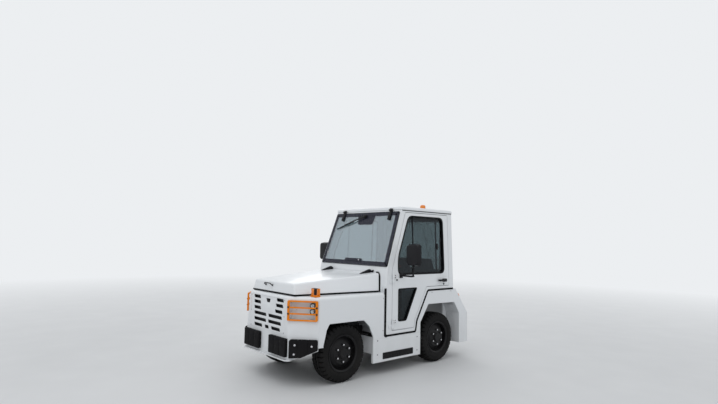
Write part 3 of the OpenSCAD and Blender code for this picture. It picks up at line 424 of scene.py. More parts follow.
# Which finish each CAD node gets
NODE_FINISH = {
    "body_paint": [
        "front_bumper", "front_body", "grille_panel", "bonnet", "cab_frame", "cab_roof",
        "door_left", "door_right", "side_skirts", "rear_body",
    ],
    "pad_rubber": ["bumper_pads", "rear_pads"],
    "guard_paint": ["lamp_guards"],
    "black_plastic": [
        "headlamps", "windscreen_wiper", "bonnet_fittings", "door_left_fittings",
        "door_right_fittings", "mirror_left", "mirror_right", "steering_wheel", "hinge_posts",
    ],
    "dash_plastic": ["dashboard", "seat_frames"],
    "amber_lens": ["turn_lamps", "roof_beacon"],
    "red_lens": ["rear_lamps"],
    "battery_paint": ["battery_block"],
    "screen_glass": ["windscreen", "rear_window"],
    "door_glass": ["door_left_glass", "door_right_glass"],
    "floor_mat": ["cab_floor"],
    "chassis_paint": [
        "chassis_frame", "steering_column", "pedals", "tow_hitch", "front_axle", "rear_axle",
        "leaf_springs", "knuckle_left", "knuckle_right", "tie_rod",
    ],
    "seat_vinyl": [
        "driver_cushion", "driver_backrest", "passenger_cushion", "passenger_backrest",
    ],
    "vent_mesh": ["skirt_vents"],
    "bright_steel": ["hitch_pin"],
    "wheel_paint": [f"rim_{a}_{b}" for a in WHEEL_YS for b in SIDES],
    "tyre_rubber": [f"tyre_{a}_{b}" for a in WHEEL_YS for b in SIDES],
}


# The record's material that matches each finish; the others match none
FINISH_SLOT = {
    "body_paint": "white_paint", "guard_paint": "orange_paint", "chassis_paint": "dark_steel",
    "wheel_paint": "wheel_paint", "pad_rubber": "pad_rubber", "seal_rubber": "black_plastic",
    "tyre_rubber": "tyre_rubber", "black_plastic": "black_plastic", "dash_plastic": "black_plastic",
    "screen_print": "black_plastic", "bright_steel": "pin_steel", "bolt_steel": "pin_steel",
    "mirror_silver": "pin_steel", "amber_lens": "amber_lens", "red_lens": "red_lens",
    "lamp_glass": "window_glass", "door_glass": "window_glass", "seat_vinyl": "seat_vinyl",
}


class TUG_OT_finishes(bpy.types.Operator):
    """Makes the finishes and lays them on the CAD nodes"""

    bl_idname = "tug.finishes"
    bl_label = "Finishes"

    def execute(self, context):
        c = context.scene.tug_colours
        made = {
            "body_paint": body_paint(c),
            "guard_paint": painted_steel("guard_paint", c.guards, 0.36, 0.02),
            "chassis_paint": painted_steel("chassis_paint", c.chassis, 0.5, 0.12),
            "wheel_paint": painted_steel("wheel_paint", c.wheels, 0.38, 0.03),
            "battery_paint": painted_steel("battery_paint", (0.05, 0.055, 0.06), 0.45, 0.1),
            "red_paint": painted_steel("red_paint", (0.55, 0.02, 0.015), 0.25, 0.0),
            "pad_rubber": rubber("pad_rubber", (0.006, 0.006, 0.0072), 0.66, 160.0, 0.04),
            "seal_rubber": rubber("seal_rubber", c.seals, 0.5, 300.0, 0.01),
            "tyre_rubber": rubber("tyre_rubber", c.tyres, 0.62, 220.0, 0.04),
            "black_plastic": moulded("black_plastic", c.plastic, 0.42),
            "dash_plastic": moulded("dash_plastic", (0.016, 0.0165, 0.018), 0.6),
            "screen_print": moulded("screen_print", (0.022, 0.023, 0.036), 0.25),
            "bright_steel": bright_metal("bright_steel", (0.62, 0.62, 0.64), 0.22),
            "bolt_steel": bright_metal("bolt_steel", (0.34, 0.34, 0.36), 0.35),
            "mirror_silver": bright_metal("mirror_silver", (0.86, 0.87, 0.88), 0.04),
            "amber_lens": lens("amber_lens", c.amber, 30.0),
            "red_lens": lens("red_lens", c.red, 30.0),
            "clear_lens": lens("clear_lens", (0.62, 0.64, 0.66), 30.0),
            "screen_glass": pane("screen_glass", c.glass, 0.27),
            "door_glass": pane("door_glass", tuple(x * 0.56 for x in c.glass), 0.02),
            "lamp_glass": pane("lamp_glass", (0.93, 0.95, 0.96), 0.05),
            "seat_vinyl": cover_vinyl(c),
            "vent_mesh": vent_mesh(c),
            "floor_mat": ribbed_mat(),
        }
        FINISHES.update({name: one.mat for name, one in made.items()})
        for finish, nodes in NODE_FINISH.items():
            for node in nodes:
                mesh = NODES[node].data
                mesh.materials.clear()
                mesh.materials.append(FINISHES[finish])
        unfinished = set(NODES) - {n for nodes in NODE_FINISH.values() for n in nodes}
        if unfinished:
            raise RuntimeError(f"nodes without a finish: {sorted(unfinished)}")
        return {"FINISHED"}


# Shapes. Each function gives a bmesh in a plane of its own: u, v in the plane, w out of it


def bevelled(bm, geom, offset, segments, affect="EDGES", clamp=True):
    """Bevels edges or corners with a round profile."""
    bmesh.ops.bevel(
        bm, geom=geom, offset=offset, offset_type="OFFSET", segments=segments, profile=0.5,
        affect=affect, material=-1, clamp_overlap=clamp,
    )


def soften_edges(bm, radius, segments=2, angle=40.0):
    """Rounds the edges that are sharper than an angle."""
    edges = [
        e for e in bm.edges if len(e.link_faces) == 2 and e.calc_face_angle(0) > radians(angle)
    ]
    if edges:
        bevelled(bm, edges, radius, segments)
    return bm


def box(low, high, bevel=0.0, segments=2):
    """A box between two corners."""
    low, high = Vector(low), Vector(high)
    bm = bmesh.new()
    bmesh.ops.create_cube(bm, size=1.0)
    bmesh.ops.scale(bm, vec=high - low, verts=bm.verts)
    bmesh.ops.translate(bm, vec=(low + high) / 2, verts=bm.verts)
    return soften_edges(bm, bevel, segments) if bevel else bm


def rod(start, end, radius, end_radius=None, steps=20, bevel=0.0):
    """A round bar or cone between two points."""
    start, end = Vector(start), Vector(end)
    bm = bmesh.new()
    bmesh.ops.create_cone(
        bm, cap_ends=True, segments=steps, radius1=radius,
        radius2=radius if end_radius is None else end_radius, depth=(end - start).length,
    )
    turn = Vector((0, 0, 1)).rotation_difference(end - start).to_matrix().to_4x4()
    placed(bm, Matrix.Translation((start + end) / 2) @ turn)
    return soften_edges(bm, bevel, 2, 60.0) if bevel else bm


def lathe(profile, steps=32, closed=False):
    """A full turn about w of a line of (radius, w) points."""
    bm = bmesh.new()
    verts = [bm.verts.new((r, 0, w)) for r, w in profile]
    pairs = list(zip(verts, verts[1:])) + ([(verts[-1], verts[0])] if closed else [])
    edges = [bm.edges.new(p) for p in pairs]
    bmesh.ops.spin(
        bm, geom=verts + edges, cent=(0, 0, 0), axis=(0, 0, 1), angle=2 * pi, steps=steps,
        use_merge=True,
    )
    bmesh.ops.remove_doubles(bm, verts=bm.verts, dist=1e-5)
    bmesh.ops.recalc_face_normals(bm, faces=bm.faces)
    return bm


def outline_face(outline, corner, steps):
    """A flat face inside an outline, with rounded corners."""
    bm = bmesh.new()
    bm.faces.new([bm.verts.new((u, v, 0)) for u, v in outline])
    if corner:
        bevelled(bm, list(bm.verts), corner, steps, affect="VERTICES")
    return bm


def thicken(bm, depth, bevel=0.0, segments=2):
    """Gives a flat face its depth and a bevelled front edge."""
    made = bmesh.ops.extrude_face_region(bm, geom=list(bm.faces))
    moved = [v for v in made["geom"] if isinstance(v, bmesh.types.BMVert)]
    bmesh.ops.translate(bm, vec=(0, 0, depth), verts=moved)
    bmesh.ops.recalc_face_normals(bm, faces=bm.faces)
    if bevel:
        soften_edges(bm, bevel, segments, 50.0)
    return bm


def plate(outline, depth, corner=0.0, bevel=0.0, steps=4, segments=2):
    """A flat outline with rounded corners, thickened along w."""
    return thicken(outline_face(outline, corner, steps), depth, bevel, segments)


def holed(outline, holes, depth, corner=0.0, level=None, way=1):
    """A plate with openings; with a level it is only what lies below it, or above for way -1."""
    bm = bmesh.new()
    for path, radius in [(outline, corner), *holes]:
        verts = [bm.verts.new((*p.xy, 0)) for p in eased(path, radius, 7, True)]
        for pair in zip(verts, verts[1:] + verts[:1]):
            bm.edges.new(pair)
    bmesh.ops.triangle_fill(bm, use_beauty=True, use_dissolve=False, edges=list(bm.edges))
    if level is not None:
        bmesh.ops.bisect_plane(
            bm, geom=list(bm.verts) + list(bm.edges) + list(bm.faces), plane_co=(0, level, 0),
            plane_no=(0, way, 0), clear_outer=True,
        )
    return thicken(bm, depth)


def ring(outline, width, depth, corner=0.0, bevel=0.0, steps=5, segments=2):
    """A band of one width that follows the inside of an outline."""
    bm = outline_face(outline, corner, steps)
    inner = list(bm.faces)
    bmesh.ops.inset_region(bm, faces=inner, thickness=width, use_even_offset=True,
                           use_boundary=True)
    bmesh.ops.delete(bm, geom=inner, context="FACES")
    return thicken(bm, depth, bevel, segments)


def grown(outline, by):
    """The outline with its points pushed away from its middle line by line."""
    points = [Vector(p) for p in outline]
    area = sum(a.x * b.y - b.x * a.y for a, b in zip(points, points[1:] + points[:1]))
    turn = 1 if area > 0 else -1
    made = []
    for i, here in enumerate(points):
        a = (here - points[i - 1]).normalized()
        b = (points[(i + 1) % len(points)] - here).normalized()
        out_a, out_b = Vector((a.y, -a.x)) * turn, Vector((b.y, -b.x)) * turn
        made.append(here + (out_a + out_b) * by / (1 + out_a.dot(out_b)))
    return [(p.x, p.y) for p in made]


def rect(u0, v0, u1, v1):
    """The four corners of a rectangle."""
    return [(u0, v0), (u1, v0), (u1, v1), (u0, v1)]


def eased(points, radius, steps=4, closed=False):
    """Rounds the corners of a path."""
    points = [Vector(p) for p in points]
    made = [] if closed else [points[0]]
    inner = range(len(points)) if closed else range(1, len(points) - 1)
    for i in inner:
        here, before, after = points[i], points[i - 1], points[(i + 1) % len(points)]
        reach = min(radius, (before - here).length / 2.1, (after - here).length / 2.1)
        a = here + (before - here).normalized() * reach
        b = here + (after - here).normalized() * reach
        for k in range(steps + 1):
            t = k / steps
            made.append(a * (1 - t) ** 2 + here * 2 * t * (1 - t) + b * t * t)
    return made if closed else made + [points[-1]]


def swept(points, radius=0.0, section=None, closed=False):
    """A round rod, or a rod with the section (width, height), along points."""
    scene = bpy.context.scene.collection
    curve = bpy.data.curves.new("path", "CURVE")
    curve.dimensions = "3D"
    curve.twist_mode = "Z_UP"
    line = curve.splines.new("POLY")
    line.points.add(len(points) - 1)
    for point, place in zip(line.points, points):
        point.co = (*Vector(place).to_3d(), 1)
    line.use_cyclic_u = closed
    curve.use_fill_caps = not closed
    holders = []
    if section:
        shape = bpy.data.curves.new("section", "CURVE")
        shape.dimensions = "2D"
        edge = eased(rect(-section[0] / 2, -section[1] / 2, section[0] / 2, section[1] / 2),
                     min(section) * 0.3, 2, True)
        outline = shape.splines.new("POLY")
        outline.points.add(len(edge) - 1)
        for point, place in zip(outline.points, edge):
            point.co = (*place.to_3d(), 1)
        outline.use_cyclic_u = True
        holders.append(bpy.data.objects.new("section", shape))
        scene.objects.link(holders[0])
        curve.bevel_mode = "OBJECT"
        curve.bevel_object = holders[0]
    else:
        curve.bevel_depth = radius
        curve.bevel_resolution = 3
    holder = bpy.data.objects.new("path", curve)
    scene.objects.link(holder)
    holders.append(holder)
    bpy.context.view_layer.update()
    graph = bpy.context.evaluated_depsgraph_get()
    mesh = bpy.data.meshes.new_from_object(holder.evaluated_get(graph))
    bm = bmesh.new()
    bm.from_mesh(mesh)
    for one in holders:
        bpy.data.objects.remove(one)
    bpy.data.meshes.remove(mesh)
    bmesh.ops.remove_doubles(bm, verts=bm.verts, dist=1e-5)
    bmesh.ops.recalc_face_normals(bm, faces=bm.faces)
    return bm


def hexagon(radius, height, washer=0.0):
    """A hexagon nut or bolt head that stands on w = 0."""
    base = 0.25 * height if washer else 0.0
    parts = [rod((0, 0, base), (0, 0, height), radius, steps=6, bevel=radius * 0.12)]
    if washer:
        parts.append(rod((0, 0, 0), (0, 0, base), washer, steps=20))
    return joined(parts)


def round_bolt(radius, height):
    """A low domed bolt head on w = 0."""
    return lathe([(0, 0), (radius, 0), (radius, height * 0.4), (radius * 0.7, height * 0.85),
                  (radius * 0.3, height), (0, height)], 16)


def pad_block(columns, depth, corner):
    """A rubber block of upright columns with narrow grooves between them."""
    groove = 0.004
    parts = [plate(c, depth, corner, 0.005, 4, 3) for c in columns]
    tops = [max(v for _, v in c) for c in columns]
    lows = [min(v for _, v in c) for c in columns]
    for left, right, top, low in zip(columns, columns[1:], tops, lows[1:]):
        u0, u1 = max(u for u, _ in left), min(u for u, _ in right)
        parts.append(plate(rect(u0 - corner, low + corner, u1 + corner, top - corner),
                           depth - groove))
    return joined(parts)


def placed(bm, matrix):
    """Moves a mesh by a matrix."""
    bmesh.ops.transform(bm, matrix=matrix, verts=bm.verts)
    return bm


def shifted(bm, u=0.0, v=0.0, w=0.0):
    """Moves a mesh along its own three axes."""
    return placed(bm, Matrix.Translation((u, v, w)))


def joined(parts):
    """Puts several meshes into one."""
    whole = bmesh.new()
    for part in parts:
        mesh = bpy.data.meshes.new("part")
        part.to_mesh(mesh)
        part.free()
        whole.from_mesh(mesh)
        bpy.data.meshes.remove(mesh)
    return whole


def mirrored(bm):
    """A copy of a mesh on the tug's other side."""
    other = bm.copy()
    bmesh.ops.scale(other, vec=(-1, 1, 1), verts=other.verts)
    bmesh.ops.reverse_faces(other, faces=other.faces)
    return other


def both(bm):
    """The shape and its mirror image on the tug's other side."""
    return joined([mirrored(bm), bm])


def piece(name, parts, finish, body=ROOT, replaces=(), angle=32.0, plane=None, pair=False,
          slot=None):
    """Makes one piece of the tug from shapes, on its plane and body, or as a pair on both sides."""
    bm = joined(parts) if isinstance(parts, (list, tuple)) else parts
    if plane:
        placed(bm, plane)
    if pair:
        bm = both(bm)
    mesh = bpy.data.meshes.new(name)
    bm.to_mesh(mesh)
    bm.free()
    mesh.materials.append(FINISHES[finish])
    mesh.polygons.foreach_set("use_smooth", [True] * len(mesh.polygons))
    mesh.set_sharp_from_angle(angle=radians(angle))
    obj = bpy.data.objects.new(name, mesh)
    bpy.context.scene.collection.objects.link(obj)
    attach(obj, body)
    slot = slot or FINISH_SLOT.get(finish)
    if replaces:
        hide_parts(*replaces)
    return obj


def side_pair(name, build, finish, replaces=(), body="door_{}"):
    """One piece for each side of the tug, each on its own body."""
    for side in SIDES:
        bm = build()
        if side == "right":
            bm = mirrored(bm)
        nodes = [n.format(side) for n in replaces]
        piece(name.format(side), bm, finish, body.format(side), nodes)


# Planes of the tug: each takes (u, v, w) to the frame


def axes(origin, u, v, w):
    """A matrix from an origin and its three axes."""
    made = Matrix.Identity(4)
    for column, axis in enumerate((u, v, w)):
        for row in range(3):
            made[row][column] = axis[row]
    return Matrix.Translation(origin) @ made


SIDE = axes((HALF_W, 0, 0), (0, 1, 0), (0, 0, 1), (1, 0, 0))
PIVOT = Matrix.Translation((HALF_W, 0, WAIST_Z))
LEANING = PIVOT @ Matrix.Rotation(CAB_LEAN, 4, "Y") @ PIVOT.inverted() @ SIDE
SCREEN = (Matrix.Translation((0, *SCREEN_FOOT)) @ Matrix.Rotation(SCREEN_RISE, 4, "X"))
HELM = Matrix.Translation(HELM_AT) @ Matrix.Rotation(HELM_TILT, 4, "X")


def front_plane(y):
    """A plane that faces forwards."""
    return axes((0, y, 0), (1, 0, 0), (0, 0, 1), (0, -1, 0))


def rear_plane(y):
    """A plane that faces backwards."""
    return axes((0, y, 0), (-1, 0, 0), (0, 0, 1), (0, 1, 0))


def corner_x(z):
    """How far out the front's edge lies at a height."""
    return 0.448 - 0.051 * max(0.0, z - 0.54) / 0.43


def corner_plane(z):
    """The sloping corner of the front, with u along it from its front edge."""
    slope = atan2(CORNER_Y - BUMPER_Y, HALF_W - corner_x(z))
    return (
        Matrix.Translation((corner_x(z), BUMPER_Y, 0))
        @ Matrix.Rotation(slope, 4, "Z")
        @ Matrix.Rotation(pi / 2, 4, "X")
    )


def wheel_plane(place):
    """A plane across a wheel's outer side, at its hub."""
    return axes((WHEEL_X, WHEEL_YS[place], HUB_Z), (0, 1, 0), (0, 0, 1), (1, 0, 0))


# Stage

BACKDROP = (0.84, 0.86, 0.88, 1)


def make_world(scene):
    """Soft level light; the camera, mirrors and glass see an even pale backdrop instead."""
    world = bpy.data.worlds.new("studio")
    world.use_nodes = True
    scene.world = world
    tree = world.node_tree
    lit = tree.nodes["Background"]
    place = add_node(tree, "ShaderNodeTexCoord").outputs["Generated"]
    fade = add_node(tree, "ShaderNodeMapRange", {
        "Value": add_node(tree, "ShaderNodeSeparateXYZ", {0: place}).outputs["Z"],
        "From Min": -0.1, "From Max": 0.9, "To Min": 0.5, "To Max": 0.92,
    })
    feed(tree, lit.inputs["Strength"], fade.outputs["Result"])
    lit.inputs["Color"].default_value = (0.95, 0.975, 1.0, 1)
    shown = add_node(tree, "ShaderNodeBackground", {"Color": BACKDROP})
    path = add_node(tree, "ShaderNodeLightPath").outputs
    through = add_node(
        tree, "ShaderNodeMath", {0: path["Is Glossy Ray"], 1: path["Is Transmission Ray"]},
        operation="MAXIMUM",
    ).outputs[0]
    seen = add_node(
        tree, "ShaderNodeMath", {0: path["Is Camera Ray"], 1: through}, operation="MAXIMUM"
    ).outputs[0]
    mixed = add_node(tree, "ShaderNodeMixShader", {0: seen, 1: lit.outputs[0], 2: shown.outputs[0]})
    feed(tree, tree.nodes["World Output"].inputs["Surface"], mixed.outputs[0])


def make_lamp(scene, name, place, size, energy):
    """A disc lamp that looks at the tug."""
    data = bpy.data.lights.new(name, "AREA")
    data.shape = "DISK"
    data.size = size
    data.energy = energy
    lamp = bpy.data.objects.new(name, data)
    lamp.matrix_world = (
        Matrix.Translation(place)
        @ (Vector((0, 0, 0.8)) - Vector(place)).to_track_quat("-Z", "Y").to_matrix().to_4x4()
    )
    scene.collection.objects.link(lamp)


def make_floor(scene):
    """The studio floor and its backdrop."""
    made = Finish("floor_paint", (0.66, 0.665, 0.67), 0.6)
    made.blotch(0.5, 0.15, (0.6, 0.6, 0.6))
    made.gloss(2.0, 0.5, 0.75)
    made.grain(60.0, 0.0006, 0.3)
    far = made.node("ShaderNodeVectorMath", {0: made.place}, operation="LENGTH").outputs["Value"]
    backdrop = made.node("ShaderNodeEmission", {"Color": BACKDROP})
    mixed = made.node(
        "ShaderNodeMixShader",
        {0: made.span(far, 4.0, 16.0), 1: made.shader.outputs[0], 2: backdrop.outputs[0]},
    )
    made.tree.links.new(mixed.outputs[0], made.tree.nodes["Material Output"].inputs["Surface"])
    bm = bmesh.new()
    bmesh.ops.create_circle(bm, cap_ends=True, segments=64, radius=80.0)
    mesh = bpy.data.meshes.new("floor")
    bm.to_mesh(mesh)
    bm.free()
    mesh.materials.append(made.mat)
    floor = bpy.data.objects.new("floor", mesh)
    scene.collection.objects.link(floor)


class TUG_OT_stage(bpy.types.Operator):
    """Makes the camera, the lights and the pale floor"""

    bl_idname = "tug.stage"
    bl_label = "Stage"

    def execute(self, context):
        scene = context.scene
        scene.view_settings.view_transform = "Standard"
        turn, rise, roll = radians(48.76), radians(-4.73), radians(1.16)
        back = Vector((sin(turn) * cos(rise), -cos(turn) * cos(rise), sin(rise)))
        right = (-back).cross(Vector((0, 0, 1))).normalized()
        up = right.cross(-back)
        data = bpy.data.cameras.new("camera")
        data.sensor_width = 36.0
        data.lens = 24.215
        data.clip_end = 200.0
        camera = bpy.data.objects.new("camera", data)
        camera.matrix_world = axes(
            (4.9405, -4.4561, 1.581),
            right * cos(roll) + up * sin(roll), up * cos(roll) - right * sin(roll), back,
        )
        scene.collection.objects.link(camera)
        scene.camera = camera
        make_world(scene)
        make_lamp(scene, "sky_lamp", (2.6, -3.4, 5.6), 5.0, 55.0)
        make_lamp(scene, "side_lamp", (-4.5, 3.5, 4.0), 4.0, 50.0)
        make_floor(scene)
        return {"FINISHED"}


# Wheels

# Columns: radius, half width. Outside of the tyre from its bead to the tread's middle
TYRE_LINE = [
    (0.1955, 0.0800), (0.2085, 0.0812), (0.2135, 0.0862), (0.2190, 0.0880), (0.2290, 0.0925),
    (0.2400, 0.0948), (0.2480, 0.0955), (0.2495, 0.0968), (0.2535, 0.0968), (0.2550, 0.0958),
    (0.2680, 0.0962), (0.2780, 0.0955), (0.2860, 0.0935), (0.2930, 0.0895), (0.3000, 0.0835),
    (0.3070, 0.0760), (0.3110, 0.0640), (0.3125, 0.0510), (0.3135, 0.0430), (0.3140, 0.0250),
    (0.3140, 0.0070),
]
# Columns: half width, radius of the lugs' tops
LUG_LINE = [(0.0, 0.3249), (0.064, 0.3245), (0.076, 0.3215), (0.0835, 0.3150), (0.0895, 0.3050),
            (0.0935, 0.2940)]
TREAD_STEPS = 144


def lug_radius(across):
    """The tyre's radius at a place across its tread."""
    for (w0, r0), (w1, r1) in zip(LUG_LINE, LUG_LINE[1:]):
        if across <= w1:
            return r0 + (r1 - r0) * (across - w0) / (w1 - w0)
    return LUG_LINE[-1][1]


def treaded_tyre():
    """The tyre, with its tread blocks drawn out of the faces of its band."""
    outer = TYRE_LINE + [(r, -w) for r, w in reversed(TYRE_LINE)]
    bm = lathe(outer, TREAD_STEPS, closed=True)
    blocks, ribs = [], []
    for face in bm.faces:
        middle = face.calc_center_median()
        radius = Vector((middle.x, middle.y)).length
        step = int((atan2(middle.y, middle.x) / (2 * pi) % 1.0) * TREAD_STEPS)
        across = abs(middle.z)
        if radius < 0.288:
            continue
        shift = 0 if middle.z > 0 else 2
        if across > 0.051 and (step + shift) % 4 != 0:
            blocks.append(face)
        elif 0.0075 < across < 0.0425 and (step + shift) % 8 != (0 if across > 0.025 else 4):
            ribs.append(face)
    for faces in (blocks, ribs):
        made = bmesh.ops.extrude_face_region(bm, geom=faces)
        for vert in made["geom"]:
            if isinstance(vert, bmesh.types.BMVert):
                out = Vector((vert.co.x, vert.co.y, 0))
                rise = min(sizes().tread_depth, lug_radius(abs(vert.co.z)) - out.length)
                vert.co += out.normalized() * rise
    bmesh.ops.recalc_face_normals(bm, faces=bm.faces)
    return bm


def wheel_nuts():
    """The nuts on each wheel's studs."""
    parts = []
    for i in range(6):
        at = Matrix.Rotation(i * pi / 3, 4, "Z") @ Matrix.Translation((0, 0.094, 0.0705))
        parts.append(placed(hexagon(0.0125, 0.021), at))
        dome = lathe([(0.0105, 0.019), (0.0098, 0.0235), (0.006, 0.0262), (0, 0.0268)], 20)
        parts.append(placed(dome, at))
    return joined(parts)


def hub_cap():
    """The cap over a wheel's hub."""
    rings = lathe(
        [(0.062, 0.0715), (0.0625, 0.0765), (0.0555, 0.0825), (0.0535, 0.0825),
         (0.0525, 0.0935), (0.049, 0.0965), (0.030, 0.0972), (0.028, 0.0955), (0.0, 0.0955)], 40,
    )
    flange = lathe(
        [(0.1985, 0.0805), (0.2035, 0.0885), (0.2075, 0.0885), (0.2085, 0.0825),
         (0.2045, 0.0795)],
        72, closed=True,
    )
    valve = rod((0.150, 0.045, 0.052), (0.158, 0.048, 0.079), 0.0045, steps=12, bevel=0.001)
    return joined([rings, flange, valve])


class TUG_OT_wheels(bpy.types.Operator):
    """Makes the tyres with their tread, and the wheel nuts, caps and valves"""

    bl_idname = "tug.wheels"
    bl_label = "Wheels"

    def execute(self, context):
        for place in WHEEL_YS:
            plane, tyre = wheel_plane(place), f"tyre_{place}_{{}}"
            for name, build, finish, nodes in (
                (tyre + "_tread", treaded_tyre, "tyre_rubber", [tyre]),
                (f"wheel_nuts_{place}_{{}}", wheel_nuts, "bright_steel", ()),
                (f"hub_cap_{place}_{{}}", hub_cap, "wheel_paint", ()),
            ):
                side_pair(name, lambda: placed(build(), plane), finish, nodes,
                          f"wheel_{place}_{{}}")
        return {"FINISHED"}


# Front

# Finish, replaced nodes and (radius, height) line of each turned part of a headlamp
HEADLAMP_PROFILES = {
    "shells": ("black_plastic", ["headlamps"], [
        (0, 0), (0.030, 0), (0.0375, 0.010), (0.039, 0.014), (0.039, 0.034), (0.0405, 0.035),
        (0.0405, 0.042), (0.0385, 0.045), (0.0335, 0.045), (0.0325, 0.041), (0.031, 0.036),
        (0.024, 0.018), (0.008, 0.008), (0, 0.008),
    ]),
    "bowls": ("mirror_silver", (), [
        (0.0318, 0.0375), (0.0285, 0.030), (0.022, 0.0195), (0.013, 0.0115), (0.0075, 0.010),
        (0.0070, 0.022), (0.0045, 0.0255), (0, 0.0262),
    ]),
    "glasses": ("lamp_glass", (), [
        (0.0334, 0.0415), (0.030, 0.0445), (0.020, 0.0478), (0.010, 0.0492), (0, 0.0496),
    ]),
}


def front_blocks():
    """Rubber blocks of upright columns, with their fixing holes and bolts."""
    front = placed(pad_block(
        [rect(0.106, 0.328, 0.219, 0.522), rect(0.222, 0.328, 0.333, 0.522),
         rect(0.336, 0.328, 0.448, 0.522)], BLOCK_OUT, 0.010), front_plane(BUMPER_Y))
    side = placed(pad_block([
        [(0.020, 0.322), (0.112, 0.327), (0.112, 0.522), (0.036, 0.522), (0.020, 0.506)],
        [(0.115, 0.3275), (0.150, 0.330), (0.224, 0.363), (0.224, 0.522), (0.115, 0.522)],
        [(0.227, 0.3645), (0.332, 0.412), (0.332, 0.510), (0.322, 0.522), (0.227, 0.522)],
    ], BLOCK_OUT, 0.006), corner_plane(0.54))
    piece("bumper_blocks", [front, side], "pad_rubber", replaces=["bumper_pads"], angle=28.0,
          pair=True)
    holes = [
        placed(shifted(pad_hole(), u, v, BLOCK_SEAT), front_plane(BUMPER_Y))
        for u in (0.135, 0.420) for v in (0.362, 0.488)
    ]
    piece("bumper_block_holes", holes, "seal_rubber", pair=True)
    bolts = [
        placed(shifted(round_bolt(0.011, 0.005), u, v, BLOCK_SEAT), corner_plane(0.54))
        for u, v in ((0.084, 0.463), (0.270, 0.456), (0.078, 0.366))
    ]
    piece("bumper_block_bolts", bolts, "bright_steel", pair=True)


def pad_hole():
    """The raised lip and sunken plug of a fixing hole."""
    return lathe([(0.0, 0.0006), (0.008, 0.0006), (0.0085, 0.0013), (0.0105, 0.0013),
                  (0.0115, 0)], 20)


def headlamps():
    """Two lamps above each other: shells, reflectors, glasses and their screws."""
    plane = corner_plane(LAMP_Z)
    screws = [placed(shifted(round_bolt(0.006, 0.004), LAMP_START + 0.06, LAMP_Z, -0.06), plane)]
    lathed = {profile: [] for profile in HEADLAMP_PROFILES}
    for v in (LAMP_Z - 0.010, LAMP_Z + 0.052):
        at = plane @ Matrix.Translation((LAMP_START + 0.246, v, -0.06))
        at = at @ Matrix.Diagonal((0.74, 0.74, 1.0, 1.0))
        for name, (_, _, profile) in HEADLAMP_PROFILES.items():
            lathed[name].append(placed(lathe(profile, 40), at))
        for turn in (0.5, 2.6, 4.7):
            head = shifted(round_bolt(0.0025, 0.0015), 0.0365 * cos(turn), 0.0365 * sin(turn),
                           0.0448)
            screws.append(placed(head, at))
    for name, (finish, nodes, _) in HEADLAMP_PROFILES.items():
        piece(f"headlamp_{name}", lathed[name], finish, replaces=nodes, pair=True)
    piece("headlamp_screws", screws, "bright_steel", pair=True)


def turn_lamps():
    """The amber turn lamps beside the headlamps."""
    y0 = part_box("turn_lamps")[0].y
    x0, x1, y1 = HALF_W - 0.14, HALF_W - 0.045, y0 + 0.07
    z0 = SHOULDER_Z
    amber = box((x0 + 0.006, y0 + 0.004, z0 + 0.012), (x1 - 0.006, y1 - 0.02, z0 + 0.092), 0.009, 3)
    marker = deck_marker()
    piece("turn_lamp_lenses", [amber, marker[0]], "amber_lens", replaces=["turn_lamps"], pair=True)
    base = [
        box((x0, y0, z0 + 0.0005), (x1, y1, z0 + 0.013), 0.003),
        box((x0 + 0.004, y1 - 0.021, z0 + 0.010), (x1 - 0.004, y1, z0 + 0.092), 0.006, 3),
    ]
    piece("turn_lamp_bases", base, "guard_paint", pair=True)
    dark = [
        box((x1 - 0.034, y0 + 0.001, z0 + 0.024), (x1 - 0.003, y0 + 0.026, z0 + 0.0905), 0.006,
            3),
        box((x0 + 0.010, y0 + 0.008, z0 + 0.088), (x1 - 0.008, y1 - 0.022, z0 + 0.0945), 0.003),
        marker[1],
    ]
    piece("turn_lamp_bars", dark, "black_plastic", pair=True)


def deck_marker():
    """The amber marker lamps on the slope of the rear deck, and their rubber feet."""
    edge_y = WHEEL_YS["rear"] + 0.35
    slope = atan2(SHELF_Z - 0.005 - 0.63, REAR_Y - 0.02 - edge_y)
    at = (Matrix.Translation((HALF_W - 0.05, edge_y, SHELF_Z - 0.005))
          @ Matrix.Rotation(-slope, 4, "X"))
    lamp = placed(box((0.003, 0.114, 0.006), (0.033, 0.166, 0.030), 0.007, 3), at)
    foot = placed(box((0, 0.11, 0), (0.036, 0.17, 0.009), 0.003), at)
    return lamp, foot


